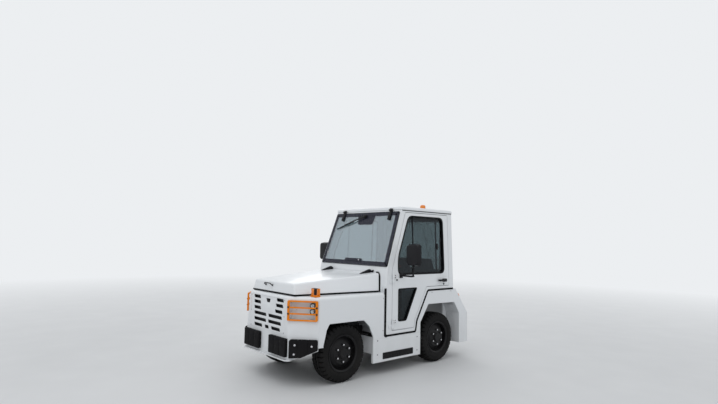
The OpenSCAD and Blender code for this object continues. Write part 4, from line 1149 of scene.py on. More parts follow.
def grille():
    """The slotted panel, the screen behind it and the bonnet's latch."""
    plane = front_plane(BUMPER_Y)
    half, lean = 0.0185, 0.012
    cuts = [
        ([(x0 + lean, v - half), (x1, v - half), (x1 - lean, v + half), (x0, v + half)], 0.010)
        for v, row in SLOT_ROWS for x0, x1 in row
    ]
    cuts.append(([(-0.010, 0.868), (0.052, 0.868), (0.070, 0.912), (-0.030, 0.912)], 0.004))
    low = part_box("grille_panel")[0]
    sheet = holed(rect(-0.371, 0.555, 0.371, 0.937), cuts, 0.006, 0.002)
    soften_edges(sheet, 0.0012, 2, 60.0)
    flange = [(-0.384, low.z), (0.384, low.z), (0.384, 0.926), (0.360, 0.926),
              (0.360, low.z + 0.024),
              (-0.360, low.z + 0.024), (-0.360, 0.926), (-0.384, 0.926)]
    piece("grille_sheet", [shifted(sheet, w=-0.006), shifted(plate(flange, 0.0039), w=-0.010)],
          "body_paint", replaces=["grille_panel"], plane=plane)
    backing = shifted(plate(rect(-0.366, 0.560, 0.366, 0.934), 0.0015), w=-0.032)
    ribs = [
        shifted(plate(rect(-0.366, v - 0.002, 0.366, v + 0.002), 0.008, 0, 0.0008), w=-0.0305)
        for v in (0.568 + 0.0137 * i for i in range(27))
    ]
    piece("grille_screen", [backing, *ribs], "black_plastic", plane=plane)
    hook = [
        shifted(plate([(-0.014, 0.858), (0.056, 0.858), (0.074, 0.918), (-0.034, 0.918)],
                      0.003, 0.004, 0.001), w=-0.016),
        rod((0.020, 0.872, -0.016), (0.020, 0.910, -0.004), 0.006, 0.008, bevel=0.001),
        shifted(box((-0.008, 0.876, -0.014), (0.048, 0.888, -0.002), 0.002)),
    ]
    piece("bonnet_latch", hook, "black_plastic", plane=plane)
    screws = [
        shifted(round_bolt(0.006, 0.003), u, v, 0.0)
        for u in (-0.361, 0.361) for v in (0.569, 0.745, 0.923)
    ]
    piece("grille_screws", screws, "bolt_steel", plane=plane)


def guard_bolts():
    """The bolts of the orange lamp guards."""
    plane = corner_plane(LAMP_Z)
    heads = [
        shifted(hexagon(0.0085, 0.006, 0.0105), u, v, 0.032)
        for u in (LAMP_START - 0.012, LAMP_START + 0.308)
        for v in (LAMP_Z - 0.034, LAMP_Z + 0.036)
    ]
    piece("guard_bolts", heads, "black_plastic", plane=plane, pair=True)


class TUG_OT_front(bpy.types.Operator):
    """Makes the pads, lamps, grille parts and guard bolts of the front"""

    bl_idname = "tug.front"
    bl_label = "Front"

    def execute(self, context):
        front_blocks()
        headlamps()
        turn_lamps()
        grille()
        guard_bolts()
        return {"FINISHED"}


# Bonnet

LID_FRONT_Z = 1.102


def lid_stiffeners(low_z, front, rear, top_z):
    """Pressed channels under the lid: a frame round its foot and a cross below its top."""
    foot = [(-0.555, rear - 0.062), (-0.440, front + 0.030), (0.440, front + 0.030),
            (0.555, rear - 0.062)]
    frame_bar = swept(eased([(u, v, low_z + 0.018) for u, v in foot], 0.03, 4, True),
                      section=(0.030, 0.022), closed=True)
    bars = [frame_bar]
    for side in (-1, 1):
        ends = [
            (u, v, top_z - (rear - v) * (top_z - LID_FRONT_Z) / (rear - front - 0.010) - 0.0135)
            for u, v in ((0.40 * side, front + 0.06), (-0.48 * side, rear - 0.07))
        ]
        bars.append(swept(ends, section=(0.050, 0.014)))
    piece("bonnet_stiffeners", bars, "body_paint", "bonnet")


def bonnet_lid(low_z, front, rear, top_z):
    """A pressed lid with rounded edges and an open underside."""
    bm = bmesh.new()
    bmesh.ops.create_cube(bm, size=2.0)
    for vert in bm.verts:
        up, back, side = vert.co.z > 0, vert.co.y > 0, 1 if vert.co.x > 0 else -1
        if up:
            at_front = (side * 0.422, front + 0.010, LID_FRONT_Z)
            vert.co = (side * 0.550, rear, top_z) if back else at_front
        else:
            at_front = (side * 0.462, front, low_z)
            vert.co = (side * 0.590, rear - 0.032, low_z) if back else at_front
    upper = [
        e for e in bm.edges
        if all(v.co.z > low_z + 0.01 for v in e.verts)
        and not all(v.co.y > rear - 0.05 for v in e.verts)
    ]
    posts = [
        e for e in bm.edges
        if abs(e.verts[0].co.z - e.verts[1].co.z) > 0.05
        and all(v.co.y < front + 0.1 for v in e.verts)
    ]
    bevelled(bm, upper + posts, sizes().lid_round, 5)
    under = [f for f in bm.faces if f.normal.z < -0.9]
    bmesh.ops.delete(bm, geom=under, context="FACES")
    bmesh.ops.recalc_face_normals(bm, faces=bm.faces)
    bmesh.ops.solidify(bm, geom=list(bm.faces), thickness=0.005)
    piece("bonnet_lid", bm, "body_paint", "bonnet", replaces=["bonnet"], angle=28.0)


def bonnet_edging(low_z, front, rear, top_z):
    """The rubber edging that the lid carries round its foot and up its rear edge."""
    foot = [(-0.588, rear - 0.036), (-0.4605, front), (0.4605, front), (0.588, rear - 0.036)]
    foot = eased([(u, v, low_z + 0.005) for u, v in foot], 0.02)
    rise = [(0.5880, rear - 0.036, low_z + 0.002), (0.5505, rear - 0.006, top_z - 0.020),
            (0.5360, rear - 0.004, top_z + 0.001), (0.5000, rear - 0.004, top_z + 0.001)]
    half = swept(eased(rise, 0.02), section=(0.011, 0.013))
    piece("bonnet_edging", [swept(foot, section=(0.010, 0.014)), both(half)], "seal_rubber",
          "bonnet")


def bonnet_straps(rear, top_z):
    """The wedge straps that end in the hinge eyes, and the pull handle on the front."""
    axis_y, axis_z = rear - 0.006, top_z + 0.014
    x0, x1 = 0.3825, 0.4095
    steep = (top_z - LID_FRONT_Z) / (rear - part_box("bonnet")[0].y - 0.010)

    def lid_z(y):
        return top_z - (rear - y) * steep + 0.0004

    wedge = plate([
        (rear - 0.185, lid_z(rear - 0.185)), (rear - 0.012, lid_z(rear - 0.012)),
        (axis_y - 0.002, axis_z - 0.010), (axis_y + 0.002, axis_z + 0.0112),
        (axis_y - 0.006, axis_z + 0.017), (rear - 0.026, axis_z + 0.027),
        (rear - 0.050, axis_z + 0.022), (rear - 0.185, lid_z(rear - 0.185) + 0.006),
    ], x1 - x0, 0, 0.002)
    strap = placed(wedge, axes((x0, 0, 0), (0, 1, 0), (0, 0, 1), (1, 0, 0)))
    eye = rod((x0, axis_y, axis_z), (x1, axis_y, axis_z), 0.0118, steps=24, bevel=0.001)
    heads = [
        shifted(round_bolt(0.006, 0.005), 0.396, rear - back,
                lid_z(rear - 0.185) + 0.066 - back * 0.329)
        for back in (0.165, 0.140)
    ]
    x, z, y = -0.085, 1.080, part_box("bonnet")[0].y + 0.008
    grip = swept(eased([(x - 0.074, y, z - 0.024), (x - 0.074, y - 0.026, z - 0.014),
                        (x - 0.066, y - 0.030, z), (x + 0.066, y - 0.030, z),
                        (x + 0.074, y - 0.026, z - 0.014), (x + 0.074, y, z - 0.024)], 0.012),
                 0.0055)
    feet = [
        rod((x + s * 0.074, y - 0.010, z - 0.022), (x + s * 0.074, y + 0.001, z - 0.0245), 0.011,
            bevel=0.002)
        for s in (-1, 1)
    ]
    piece("bonnet_straps", [both(joined([strap, eye, *heads])), grip, *feet], "black_plastic",
          "bonnet", replaces=["bonnet_fittings"])


def bonnet_seal(low_z, front):
    """The rubber under the bonnet's edge and up the cowl behind it."""
    plan = [(-0.456, front + 0.006), (0.456, front + 0.006), (0.584, CAB_Y - 0.014),
            (-0.584, CAB_Y - 0.014)]
    strip = shifted(ring(plan, 0.024, low_z - SHOULDER_Z - 0.0006, 0.014, 0.0025), w=SHOULDER_Z)
    edge = eased([(0.592, CAB_Y - 0.0035, low_z - 0.006), (0.590, CAB_Y - 0.003, 1.018),
                  (0.562, CAB_Y + 0.0215, 1.168), (0.532, CAB_Y + 0.028, 1.208),
                  (0.490, CAB_Y + 0.0286, 1.2095)], 0.05)
    piece("bonnet_seal", [strip, both(swept(edge, 0.0065))], "seal_rubber")


class TUG_OT_bonnet(bpy.types.Operator):
    """Makes the bonnet with its seal, handle and straps"""

    bl_idname = "tug.bonnet"
    bl_label = "Bonnet"

    def execute(self, context):
        low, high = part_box("bonnet")
        front, rear = low.y, high.y
        bonnet_lid(low.z, front, rear, high.z)
        bonnet_seal(low.z, front)
        bonnet_edging(low.z, front, rear, high.z)
        bonnet_straps(rear, high.z)
        lid_stiffeners(low.z, front, rear, high.z)
        return {"FINISHED"}


# Cab


def cab_seams():
    """Rubber between the cab and the body, on both sides."""
    s = sizes()
    low = [(-0.270, 0.4525), (0.2765, 0.4525), (0.302, 0.589), (0.5145, 0.9625), (1.044, 0.9625)]
    low = eased([(-0.270, 0.56)] + low, 0.02)
    front = eased([(-0.270, 1.022), (-0.270, 0.4525), (-0.235, 0.4525)], 0.014)
    parts = [
        placed(swept(low, section=(s.seam_width, 0.010)), SIDE),
        placed(swept(front, section=(s.front_seam_width, 0.012)), SIDE),
    ]
    behind_y = CAB_REAR_Y + 0.0035
    behind = swept([(0.0, behind_y, 0.9645), (HALF_W - 0.004, behind_y, 0.9645)],
                   section=(0.009, 0.012))
    piece("cab_seams", [*parts, behind], "seal_rubber", pair=True)
    cover = [(0.556, 1.004), (0.660, 1.004), (0.6235, 1.988), (0.556, 1.988)]
    covers = both(placed(shifted(plate(cover, 0.003, 0.006, 0.001), w=-0.0012),
                         axes((0, CAB_REAR_Y, 0), (1, 0, 0), (0, 0, 1), (0, 1, 0))))
    piece("cab_corner_covers", covers, "body_paint")


def windscreen_trim():
    """The printed border, hinges, latches and lower lock of the windscreen."""
    outline = [(-0.660, 0.002), (0.660, 0.002), (0.630, SCREEN_H - 0.002),
               (-0.630, SCREEN_H - 0.002)]
    border = shifted(ring(outline, sizes().frit_width, 0.0012, 0.02, 0, 4), w=0.0098)
    patch = shifted(plate(
        [(-0.150, SCREEN_H - 0.04), (-0.105, SCREEN_H - 0.175), (0.180, SCREEN_H - 0.175),
         (0.205, SCREEN_H - 0.04)], 0.0012, 0.02), w=0.0098)
    lock = shifted(plate(
        [(-0.165, 0.045), (0.175, 0.045), (0.165, 0.082), (-0.155, 0.082)], 0.014, 0.010,
        0.004),
        w=0.0098)
    piece("screen_border", [border, patch, lock], "screen_print", plane=SCREEN)
    seal = shifted(ring(grown(outline, 0.007), 0.012, 0.010, 0.025, 0.003), w=-0.001)
    piece("screen_seal", seal, "seal_rubber", plane=SCREEN)
    hinges = []
    for u in (-0.458, 0.480):
        leaf = plate([(u - 0.026, SCREEN_H - 0.116), (u + 0.024, SCREEN_H - 0.122),
                      (u + 0.030, SCREEN_H + 0.040), (u - 0.020, SCREEN_H + 0.046)],
                     0.016, 0.012, 0.005)
        hinges.append(shifted(leaf, w=0.010))
        pin_v = SCREEN_H + 0.018
        hinges.append(rod((u - 0.026, pin_v, 0.026), (u + 0.034, pin_v, 0.026), 0.013,
                          bevel=0.003))
        hinges.append(shifted(hexagon(0.009, 0.006), u, SCREEN_H - 0.090, 0.026))
    piece("screen_hinges", hinges, "black_plastic", plane=SCREEN)
    latches = []
    for u in (-0.585, 0.585):
        latches.append(shifted(box((u - 0.009, 0.118, 0.0), (u + 0.009, 0.166, 0.009), 0.003),
                               w=-0.008))
        latches.append(rod((u, 0.155, -0.006), (u, 0.155, 0.016), 0.011, bevel=0.002))
    latches.append(rod((0.127, 0.062, 0.012), (0.127, 0.062, 0.027), 0.010, bevel=0.002))
    piece("screen_latches", latches, "bright_steel", plane=SCREEN)


def wiper():
    """Motor cap, arm and blade, resting at a slant across the top of the screen."""
    at = (0.016, SCREEN_H - 0.062)
    way = radians(198)
    turn = SCREEN @ Matrix.Translation((*at, 0.010)) @ Matrix.Rotation(way, 4, "Z")
    cap = lathe([(0, 0), (0.026, 0), (0.026, 0.012), (0.021, 0.024), (0.018, 0.034),
                 (0.012, 0.038), (0, 0.038)], 28)
    arm = plate([(-0.03, -0.012), (0.03, -0.014), (0.16, -0.008), (0.40, -0.005), (0.40, 0.005),
                 (0.16, 0.008), (0.03, 0.014), (-0.03, 0.012)], 0.008, 0.004, 0.002)
    frame_bar = swept(eased([(0.250, 0, 0.004), (0.30, 0, 0.013), (0.40, 0, 0.020),
                             (0.50, 0, 0.013), (0.575, 0, 0.004)], 0.03),
                      section=(0.009, 0.005))
    claws = [box((u - 0.006, -0.006, 0.001), (u + 0.006, 0.006, 0.012), 0.001)
             for u in (0.26, 0.33, 0.47, 0.565)]
    blade = box((0.235, -0.003, 0.0004), (0.580, 0.003, 0.008), 0.001)
    parts = [cap, shifted(arm, w=0.022), frame_bar, blade, *claws]
    piece("wiper_arm", parts, "black_plastic", replaces=["windscreen_wiper"], plane=turn)


def roof():
    """A pressed roof with rounded edges and a rolled gutter."""
    low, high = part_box("cab_roof")
    bm = box(low + Vector((0.006, 0.006, 0)), high - Vector((0.006, 0.006, 0)))
    top = [e for e in bm.edges if all(v.co.z > high.z - 0.001 for v in e.verts)]
    bevelled(bm, top, 0.026, 5, clamp=False)
    path = eased([(low.x + 0.008, high.y - 0.008), (low.x + 0.008, low.y + 0.008),
                  (high.x - 0.008, low.y + 0.008), (high.x - 0.008, high.y - 0.008)], 0.02, 4,
                  True)
    gutter = shifted(swept(path, section=(0.017, 0.014), closed=True), w=low.z + 0.008)
    piece("roof_panel", [bm, gutter], "body_paint", replaces=["cab_roof"], angle=28.0)
    # A black rubber strip round the cab just under the roof's rim: painted shadow of the roof's
    # overhang.
    wall_x = HALF_W + tan(CAB_LEAN) * (low.z - WAIST_Z) + 0.0015
    strip = [(wall_x, CAB_REAR_Y + 0.0015), (wall_x, low.y + 0.022), (-wall_x, low.y + 0.022),
             (-wall_x, CAB_REAR_Y + 0.0015)]
    piece("roof_shadow_strip",
          shifted(swept(eased(strip, 0.01, 3, True), section=(0.008, 0.009), closed=True),
                  w=low.z - 0.0045),
          "seal_rubber")


def beacon():
    """The amber beacon on the roof."""
    low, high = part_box("roof_beacon")
    middle = Matrix.Translation(((low.x + high.x) / 2, (low.y + high.y) / 2, low.z))
    base = lathe([(0, 0), (0.052, 0), (0.052, 0.012), (0.049, 0.018), (0.046, 0.019),
                  (0, 0.019)], 40)
    piece("beacon_base", base, "black_plastic", replaces=["roof_beacon"], plane=middle)
    dome = lathe([(0.0445, 0.018), (0.0440, 0.030), (0.0405, 0.034), (0.0400, 0.060),
                  (0.0385, 0.072),
                  (0.034, 0.082), (0.024, 0.088), (0.010, 0.090), (0, 0.090)], 48)
    piece("beacon_dome", dome, "amber_lens", plane=middle)


def rear_window_rubber():
    """The rubber round the rear window."""
    outline = rect(-0.48, 1.185, 0.48, 1.923)
    rubber_ring = shifted(ring(grown(outline, 0.012), 0.040, 0.018, 0.068, 0.004), w=-0.012)
    piece("rear_window_rubber", rubber_ring, "seal_rubber", plane=rear_plane(CAB_REAR_Y))


class TUG_OT_cab(bpy.types.Operator):
    """Makes the cab's seams, windscreen trim, wiper, roof and beacon"""

    bl_idname = "tug.cab"
    bl_label = "Cab"

    def execute(self, context):
        cab_seams()
        windscreen_trim()
        wiper()
        roof()
        beacon()
        rear_window_rubber()
        return {"FINISHED"}


# Doors


def door_panel():
    """The door's sheet with both window openings, upright below the waist and leaning above."""
    cuts = [(UPPER_WINDOW, 0.075), (LOWER_WINDOW, 0.022)]
    low = holed(DOOR_OUTLINE, cuts, DOOR_T, 0.014, WAIST_Z, 1)
    high = holed(DOOR_OUTLINE, cuts, DOOR_T, 0.014, WAIST_Z, -1)
    return joined([placed(shifted(low, w=-DOOR_T), SIDE),
                   placed(shifted(high, w=-DOOR_T), LEANING)])


def door_panes():
    """The two panes, upper and lower."""
    upper = shifted(holed(grown(UPPER_WINDOW, -0.001), [], 0.006, 0.074), w=-0.023)
    lower = shifted(holed(grown(LOWER_WINDOW, -0.001), [], 0.006, 0.021), w=-0.023)
    return joined([placed(upper, LEANING), placed(lower, SIDE)])


def door_rubbers():
    """The rubbers round a door's two windows."""
    width = sizes().window_rubber
    bands = []
    for outline, corner, wide, out, plane in (
        (UPPER_WINDOW, 0.082, width, 0.011, LEANING), (LOWER_WINDOW, 0.028, 0.016, 0.008, SIDE),
    ):
        band = holed(grown(outline, out), [(grown(outline, out - wide), corner - wide * 0.5)],
                     0.030, corner)
        soften_edges(band, 0.003, 2, 60.0)
        bands.append(placed(shifted(band, w=-0.026), plane))
    return joined(bands)


def door_slider():
    """The sliding panes' frames inside the upper window."""
    inner = grown(UPPER_WINDOW, -0.010)
    outer = shifted(holed(inner, [(grown(inner, -0.013), 0.050)], 0.012, 0.062), w=-0.034)
    bars = [
        shifted(plate(rect(0.246, 1.200, 0.260, 1.912), 0.012, 0, 0.002), w=-0.021),
        shifted(plate(rect(0.718, 1.200, 0.738, 1.912), 0.012, 0, 0.002), w=-0.034),
        shifted(plate(rect(0.10, 1.884, 0.82, 1.918), 0.016, 0, 0.002), w=-0.036),
        shifted(box((0.724, 1.50, 0), (0.758, 1.58, 0.012), 0.003), w=-0.020),
    ]
    return placed(joined([outer, *bars]), LEANING)


def door_handle():
    """A door's handle with its lock."""
    y, z = CAB_REAR_Y - 0.225, WAIST_Z + 0.07
    grip = swept(eased([(y - 0.110, z, 0.030), (y - 0.096, z, 0.040), (y - 0.02, z, 0.043),
                        (y + 0.030, z, 0.040)], 0.02), section=(0.026, 0.018))
    feet = [
        box((y - 0.094, z - 0.011, 0), (y - 0.074, z + 0.011, 0.038), 0.004),
        box((y - 0.012, z - 0.022, 0), (y + 0.050, z + 0.020, 0.042), 0.008, 3),
        shifted(lathe([(0, 0), (0.010, 0), (0.010, 0.005), (0.007, 0.008), (0, 0.008)], 20),
                y + 0.020, z, 0.042),
        shifted(round_bolt(0.012, 0.007), y + 0.020, z - 0.052, 0.0),
    ]
    return placed(joined([grip, *feet]), LEANING)


def hinge_halves(way):
    """Hinge knuckles and leaves: way 1 is the door's half, above, and -1 the fixed half."""
    parts = []
    for z in HINGE_ZS:
        plane = LEANING if z > WAIST_Z else SIDE
        v0, v1 = (z, z + 0.054) if way > 0 else (z - 0.055, z - 0.0004)
        barrel = rod((*DOOR_AXIS, v0 + 0.0002), (*DOOR_AXIS, v1), 0.011, steps=24, bevel=0.0015)
        u0, u1 = sorted(DOOR_AXIS[1] + way * reach for reach in (0.003, 0.06))
        leaf = plate(rect(u0, v0 + 0.001, u1, v1 - 0.001), 0.008, 0.006, 0.0015)
        parts += [barrel, placed(leaf, plane)]
    return parts


def hinge_leaves():
    """The leaves of the doors' hinges."""
    return joined(hinge_halves(1))


def door_bolts():
    """Bolt heads on the hinge leaves, and the door lock."""
    parts = []
    for z in HINGE_ZS:
        plane = LEANING if z > WAIST_Z else SIDE
        for u, v in ((0.022, 0.014), (0.022, 0.040), (0.047, 0.014), (0.047, 0.040)):
            parts.append(placed(
                shifted(round_bolt(0.0062, 0.004), DOOR_AXIS[1] + u, z + v, 0.0078), plane))
    parts.append(placed(shifted(hexagon(0.011, 0.010), CAB_Y + 0.195, 1.118, 0.0), LEANING))
    return joined(parts)


def bonnet_posts():
    """The small posts that the bonnet's straps hook on."""
    y, z = CAB_Y + 0.016, 1.214
    arm = swept(eased([(0.423, y, z), (0.423, y + 0.014, z + 0.006),
                       (0.423, y + 0.028, z + 0.010)], 0.01), section=(0.024, 0.018))
    return joined([
        rod((0.4102, y, z), (0.436, y, z), 0.012, steps=24, bevel=0.002),
        rod((0.382, y, z), (0.42, y, z), 0.0058, steps=16),
        arm,
    ])


def mirror():
    """A mirror's arm and housing."""
    x, y = MIRROR_X, MIRROR_Y
    foot = placed(box((y - 0.025, 1.140, -0.001), (y + 0.025, 1.200, 0.016), 0.005, 3), LEANING)
    arm = swept(eased([(HALF_W - 0.002, y, 1.170), (x, y, 1.170), (x, y, 1.40)], 0.03), 0.011)
    bm = box((-0.109, -0.027, -0.134), (0.109, 0.027, 0.134))
    posts = [e for e in bm.edges if abs(e.verts[0].co.y - e.verts[1].co.y) > 0.01]
    bevelled(bm, posts, 0.045, 6, clamp=False)
    for vert in bm.verts:
        if vert.co.y < 0:
            vert.co.x *= 0.90
            vert.co.z *= 0.92
    front = [e for e in bm.edges if all(v.co.y < 0 for v in e.verts)]
    bevelled(bm, front, 0.018, 4)
    back = max(bm.faces, key=lambda f: f.normal.y * f.calc_area())
    bmesh.ops.inset_region(bm, faces=[back], thickness=0.008, use_even_offset=True)
    bmesh.ops.inset_region(bm, faces=[back], thickness=0.003, depth=-0.006, use_even_offset=True)
    shifted(bm, x, y - 0.004, 1.435)
    clamp = rod((x, y, 1.165), (x, y, 1.185), 0.014, steps=20, bevel=0.003)
    ball = rod((x, y, 1.285), (x, y, 1.305), 0.016, steps=20, bevel=0.004)
    return joined([foot, arm, bm, clamp, ball])


def mirror_glass():
    """The glass of a mirror."""
    at = axes((MIRROR_X, MIRROR_Y + 0.0175, 1.435), (-1, 0, 0), (0, 0, 1), (0, 1, 0))
    return placed(plate(rect(-0.099, -0.124, 0.099, 0.124), 0.002, 0.036, 0), at)


class TUG_OT_doors(bpy.types.Operator):
    """Makes the doors' window rubbers, sliding frames, hinges, handles and mirrors"""

    bl_idname = "tug.doors"
    bl_label = "Doors"

    def execute(self, context):
        side_pair("door_{}_panel", door_panel, "body_paint", replaces=["door_{}"])
        side_pair("door_{}_panes", door_panes, "door_glass", replaces=["door_{}_glass"])
        side_pair("door_{}_rubbers", door_rubbers, "seal_rubber")
        side_pair("door_{}_slider", door_slider, "black_plastic")
        side_pair("door_{}_handle", door_handle, "black_plastic", replaces=["door_{}_fittings"])
        side_pair("door_{}_hinge_leaves", hinge_leaves, "body_paint", replaces=["door_{}_fittings"])
        side_pair("door_{}_bolts", door_bolts, "black_plastic")
        side_pair("mirror_{}_shell", mirror, "black_plastic", replaces=["mirror_{}"])
        side_pair("mirror_{}_silver", mirror_glass, "mirror_silver")
        posts = both(joined(hinge_halves(-1)))
        piece("hinge_post_leaves", posts, "body_paint", replaces=["hinge_posts"])
        piece("bonnet_hinge_posts", bonnet_posts(), "black_plastic", replaces=["hinge_posts"],
              pair=True)
        return {"FINISHED"}


# Inside


def helm():
    """The steering wheel."""
    section = [(0.176 + 0.0135 * cos(t * pi / 6), 0.0135 * sin(t * pi / 6)) for t in range(12)]
    rim = lathe(section, 72, closed=True)
    hub = lathe([(0, -0.020), (0.030, -0.020), (0.034, -0.014), (0.036, 0.004), (0.033, 0.012),
                 (0.024, 0.016), (0, 0.0165)], 36)
    spokes = []
    for turn in (30, 150, 270):
        arm = swept(eased([(0.022, 0, -0.006), (0.07, 0, -0.013), (0.13, 0, -0.009),
                           (0.168, 0, -0.001)], 0.02), section=(0.026, 0.008))
        spokes.append(placed(arm, Matrix.Rotation(radians(turn), 4, "Z")))
    piece("helm", [rim, hub, *spokes], "black_plastic", "steering_wheel",
          replaces=["steering_wheel"], plane=HELM)


def dash():
    """Instrument hood, switches and vents on the dashboard."""
    top = 1.255
    hood = box((SEAT_X - 0.15, CAB_Y + 0.13, top - 0.012),
               (SEAT_X + 0.15, CAB_Y + 0.235, top + 0.035),
               0.018, 4)
    vents = []
    for x in (-0.50, -0.20, 0.50):
        vents.append(box((x - 0.055, CAB_Y + 0.236, 1.135), (x + 0.055, CAB_Y + 0.250, 1.178),
                         0.004))
        vents += [
            box((x - 0.048, CAB_Y + 0.246, z), (x + 0.048, CAB_Y + 0.254, z + 0.003), 0.001)
            for z in (1.142, 1.150, 1.158, 1.166)
        ]
    piece("dash_hood", [hood, *vents], "dash_plastic")
    keys = [
        box((x - 0.012, CAB_Y + 0.243, 1.118), (x + 0.012, CAB_Y + 0.254, 1.150), 0.003)
        for x in (0.02, 0.055, -0.015, -0.05)
    ]
    piece("dash_keys", keys, "black_plastic")


def pedals():
    """The rubbers on the pedals."""
    parts = []
    for x in (0.112, 0.292):
        at = Matrix.Translation((x, CAB_Y + 0.15, 0.53)) @ Matrix.Rotation(radians(35), 4, "X")
        tread = box((0.003, -0.004, 0.040), (0.057, 0.001, 0.134), 0.004, 3)
        ribs = [box((0.008, -0.0065, 0.050 + 0.014 * i), (0.052, -0.003, 0.056 + 0.014 * i),
                    0.001)
                for i in range(6)]
        parts.append(placed(joined([tread, *ribs]), at))
    piece("pedal_rubbers", parts, "seal_rubber", slot="pad_rubber")


def extinguisher():
    """A red extinguisher in its bracket by the left front post."""
    x, y, z = 0.572, 0.062, 1.115
    tank = lathe([(0, 0), (0.034, 0), (0.041, 0.008), (0.042, 0.020), (0.042, 0.160),
                  (0.036, 0.182),
                  (0.020, 0.196), (0.013, 0.200), (0, 0.200)], 32)
    piece("extinguisher_tank", shifted(tank, x, y, z), "red_paint")
    head = [
        rod((x, y, z + 0.196), (x, y, z + 0.222), 0.012, steps=16, bevel=0.002),
        box((x - 0.010, y - 0.045, z + 0.220), (x + 0.010, y + 0.030, z + 0.230), 0.003),
        swept(eased([(x, y + 0.012, z + 0.215), (x - 0.012, y + 0.05, z + 0.20),
                     (x - 0.014, y + 0.054, z + 0.12), (x - 0.012, y + 0.049, z + 0.05)], 0.03),
              0.006),
        box((x - 0.046, y - 0.046, z - 0.006), (x + 0.056, y + 0.046, z + 0.001), 0.002),
        shifted(ring(rect(x - 0.0445, y - 0.0445, x + 0.0445, y + 0.0445),
                     0.0022, 0.018, 0.040, 0, 8), w=z + 0.095),
        box((x + 0.041, y - 0.020, z - 0.004), (x + 0.058, y + 0.020, z + 0.15), 0.002),
    ]
    piece("extinguisher_head", head, "black_plastic")


class TUG_OT_inside(bpy.types.Operator):
    """Makes the steering wheel, dashboard parts, pedals and the extinguisher"""

    bl_idname = "tug.inside"
    bl_label = "Inside"

    def execute(self, context):
        helm()
        dash()
        pedals()
        extinguisher()
        return {"FINISHED"}


# Seats


def stuffed(context, node, x, flat):
    """Swells a slightly smaller copy of the CAD form, and sews its channels in."""
    bm = bmesh.new()
    bm.from_mesh(NODES[node].data)
    bmesh.ops.remove_doubles(bm, verts=bm.verts, dist=1e-5)
    low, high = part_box(node)
    middle = (low + high) / 2
    bmesh.ops.translate(bm, vec=-middle, verts=bm.verts)
    bmesh.ops.scale(bm, vec=[1 - 0.018 / s for s in (high - low)], verts=bm.verts)
    bmesh.ops.translate(bm, vec=middle, verts=bm.verts)
    obj = piece(node + "_cover", bm, "seat_vinyl", replaces=[node], angle=180.0)
    context.view_layer.objects.active = obj
    remesh = obj.modifiers.new("remesh", "REMESH")
    remesh.mode = "VOXEL"
    remesh.voxel_size = 0.0085
    smooth = obj.modifiers.new("smooth", "SMOOTH")
    smooth.iterations = 4
    keep_result(obj)
    inflate(context, obj)
    sew(obj, x, flat, low, high)
    fine = obj.modifiers.new("fine", "SUBSURF")
    fine.levels = fine.render_levels = 1


def keep_result(obj):
    """Applies a simulation's last shape to its mesh."""
    graph = bpy.context.evaluated_depsgraph_get()
    mesh = bpy.data.meshes.new_from_object(obj.evaluated_get(graph))
    obj.modifiers.clear()
    obj.data = mesh
    mesh.polygons.foreach_set("use_smooth", [True] * len(mesh.polygons))


def inflate(context, obj):
    """Runs the cloth simulation of one padded cover."""
    rest = [v.co.copy() for v in obj.data.vertices]
    cloth = obj.modifiers.new("cloth", "CLOTH")
    cloth.settings.use_pressure = True
    cloth.settings.uniform_pressure_force = 4.0
    cloth.settings.effector_weights.gravity = 0.0
    cloth.settings.quality = 4
    cloth.point_cache.frame_start = 1
    cloth.point_cache.frame_end = 20
    for step in range(1, 17):
        context.scene.frame_set(step)
    keep_result(obj)
    context.scene.frame_set(1)
    for vert, start in zip(obj.data.vertices, rest):
        move = vert.co - start
        if move.length > 0.012:
            vert.co = start + move.normalized() * 0.012


def sew(obj, x, flat, low, high):
    """Presses the sewn channels and the flat underside into the stuffed form."""
    for vert in obj.data.vertices:
        co = vert.co
        across = abs(co.x - x)
        up = (co.z - low.z) / (high.z - low.z)
        along = (co.y - low.y) / (high.y - low.y)
        top = up > 0.6 if flat else along < 0.75
        if top:
            depth = 0.007 * max(0.0, 1 - abs(across - 0.128) / 0.011) ** 2
            if across < 0.128:
                rows = co.y if flat else co.z
                phase = abs((rows - (low.y if flat else low.z)) % 0.078 - 0.039)
                depth = max(depth, 0.0045 * max(0.0, 1 - phase / 0.010) ** 2)
            if flat:
                co.z -= depth
            else:
                co.y += depth
        if flat:
            co.z = max(co.z, low.z + 0.0005)


def seat_fittings():
    """Slide rails and belt buckles."""
    dark, red = [], []
    for x in (SEAT_X, -SEAT_X):
        for s in (-1, 1):
            dark.append(box((x + s * 0.15 - 0.014, 0.49, 0.8),
                            (x + s * 0.15 + 0.014, 0.90, 0.8205), 0.003))
        inner = x - 0.205 if x > 0 else x + 0.205
        dark.append(box((inner - 0.008, 0.80, 0.83), (inner + 0.008, 0.845, 1.0), 0.004))
        red.append(box((inner - 0.009, 0.805, 0.992), (inner + 0.009, 0.842, 1.004), 0.003))
    piece("seat_fittings", dark, "black_plastic")
    piece("belt_buckle_keys", red, "red_paint")


class TUG_OT_seats(bpy.types.Operator):
    """Makes the stuffed seat cushions and backrests, and the seats' fittings"""

    bl_idname = "tug.seats"
    bl_label = "Seats"

    def execute(self, context):
        for place, x in (("driver", SEAT_X), ("passenger", -SEAT_X)):
            for part in ("cushion", "backrest"):
                stuffed(context, f"{place}_{part}", x, part == "cushion")
        seat_fittings()
        return {"FINISHED"}


# Lower body and rear


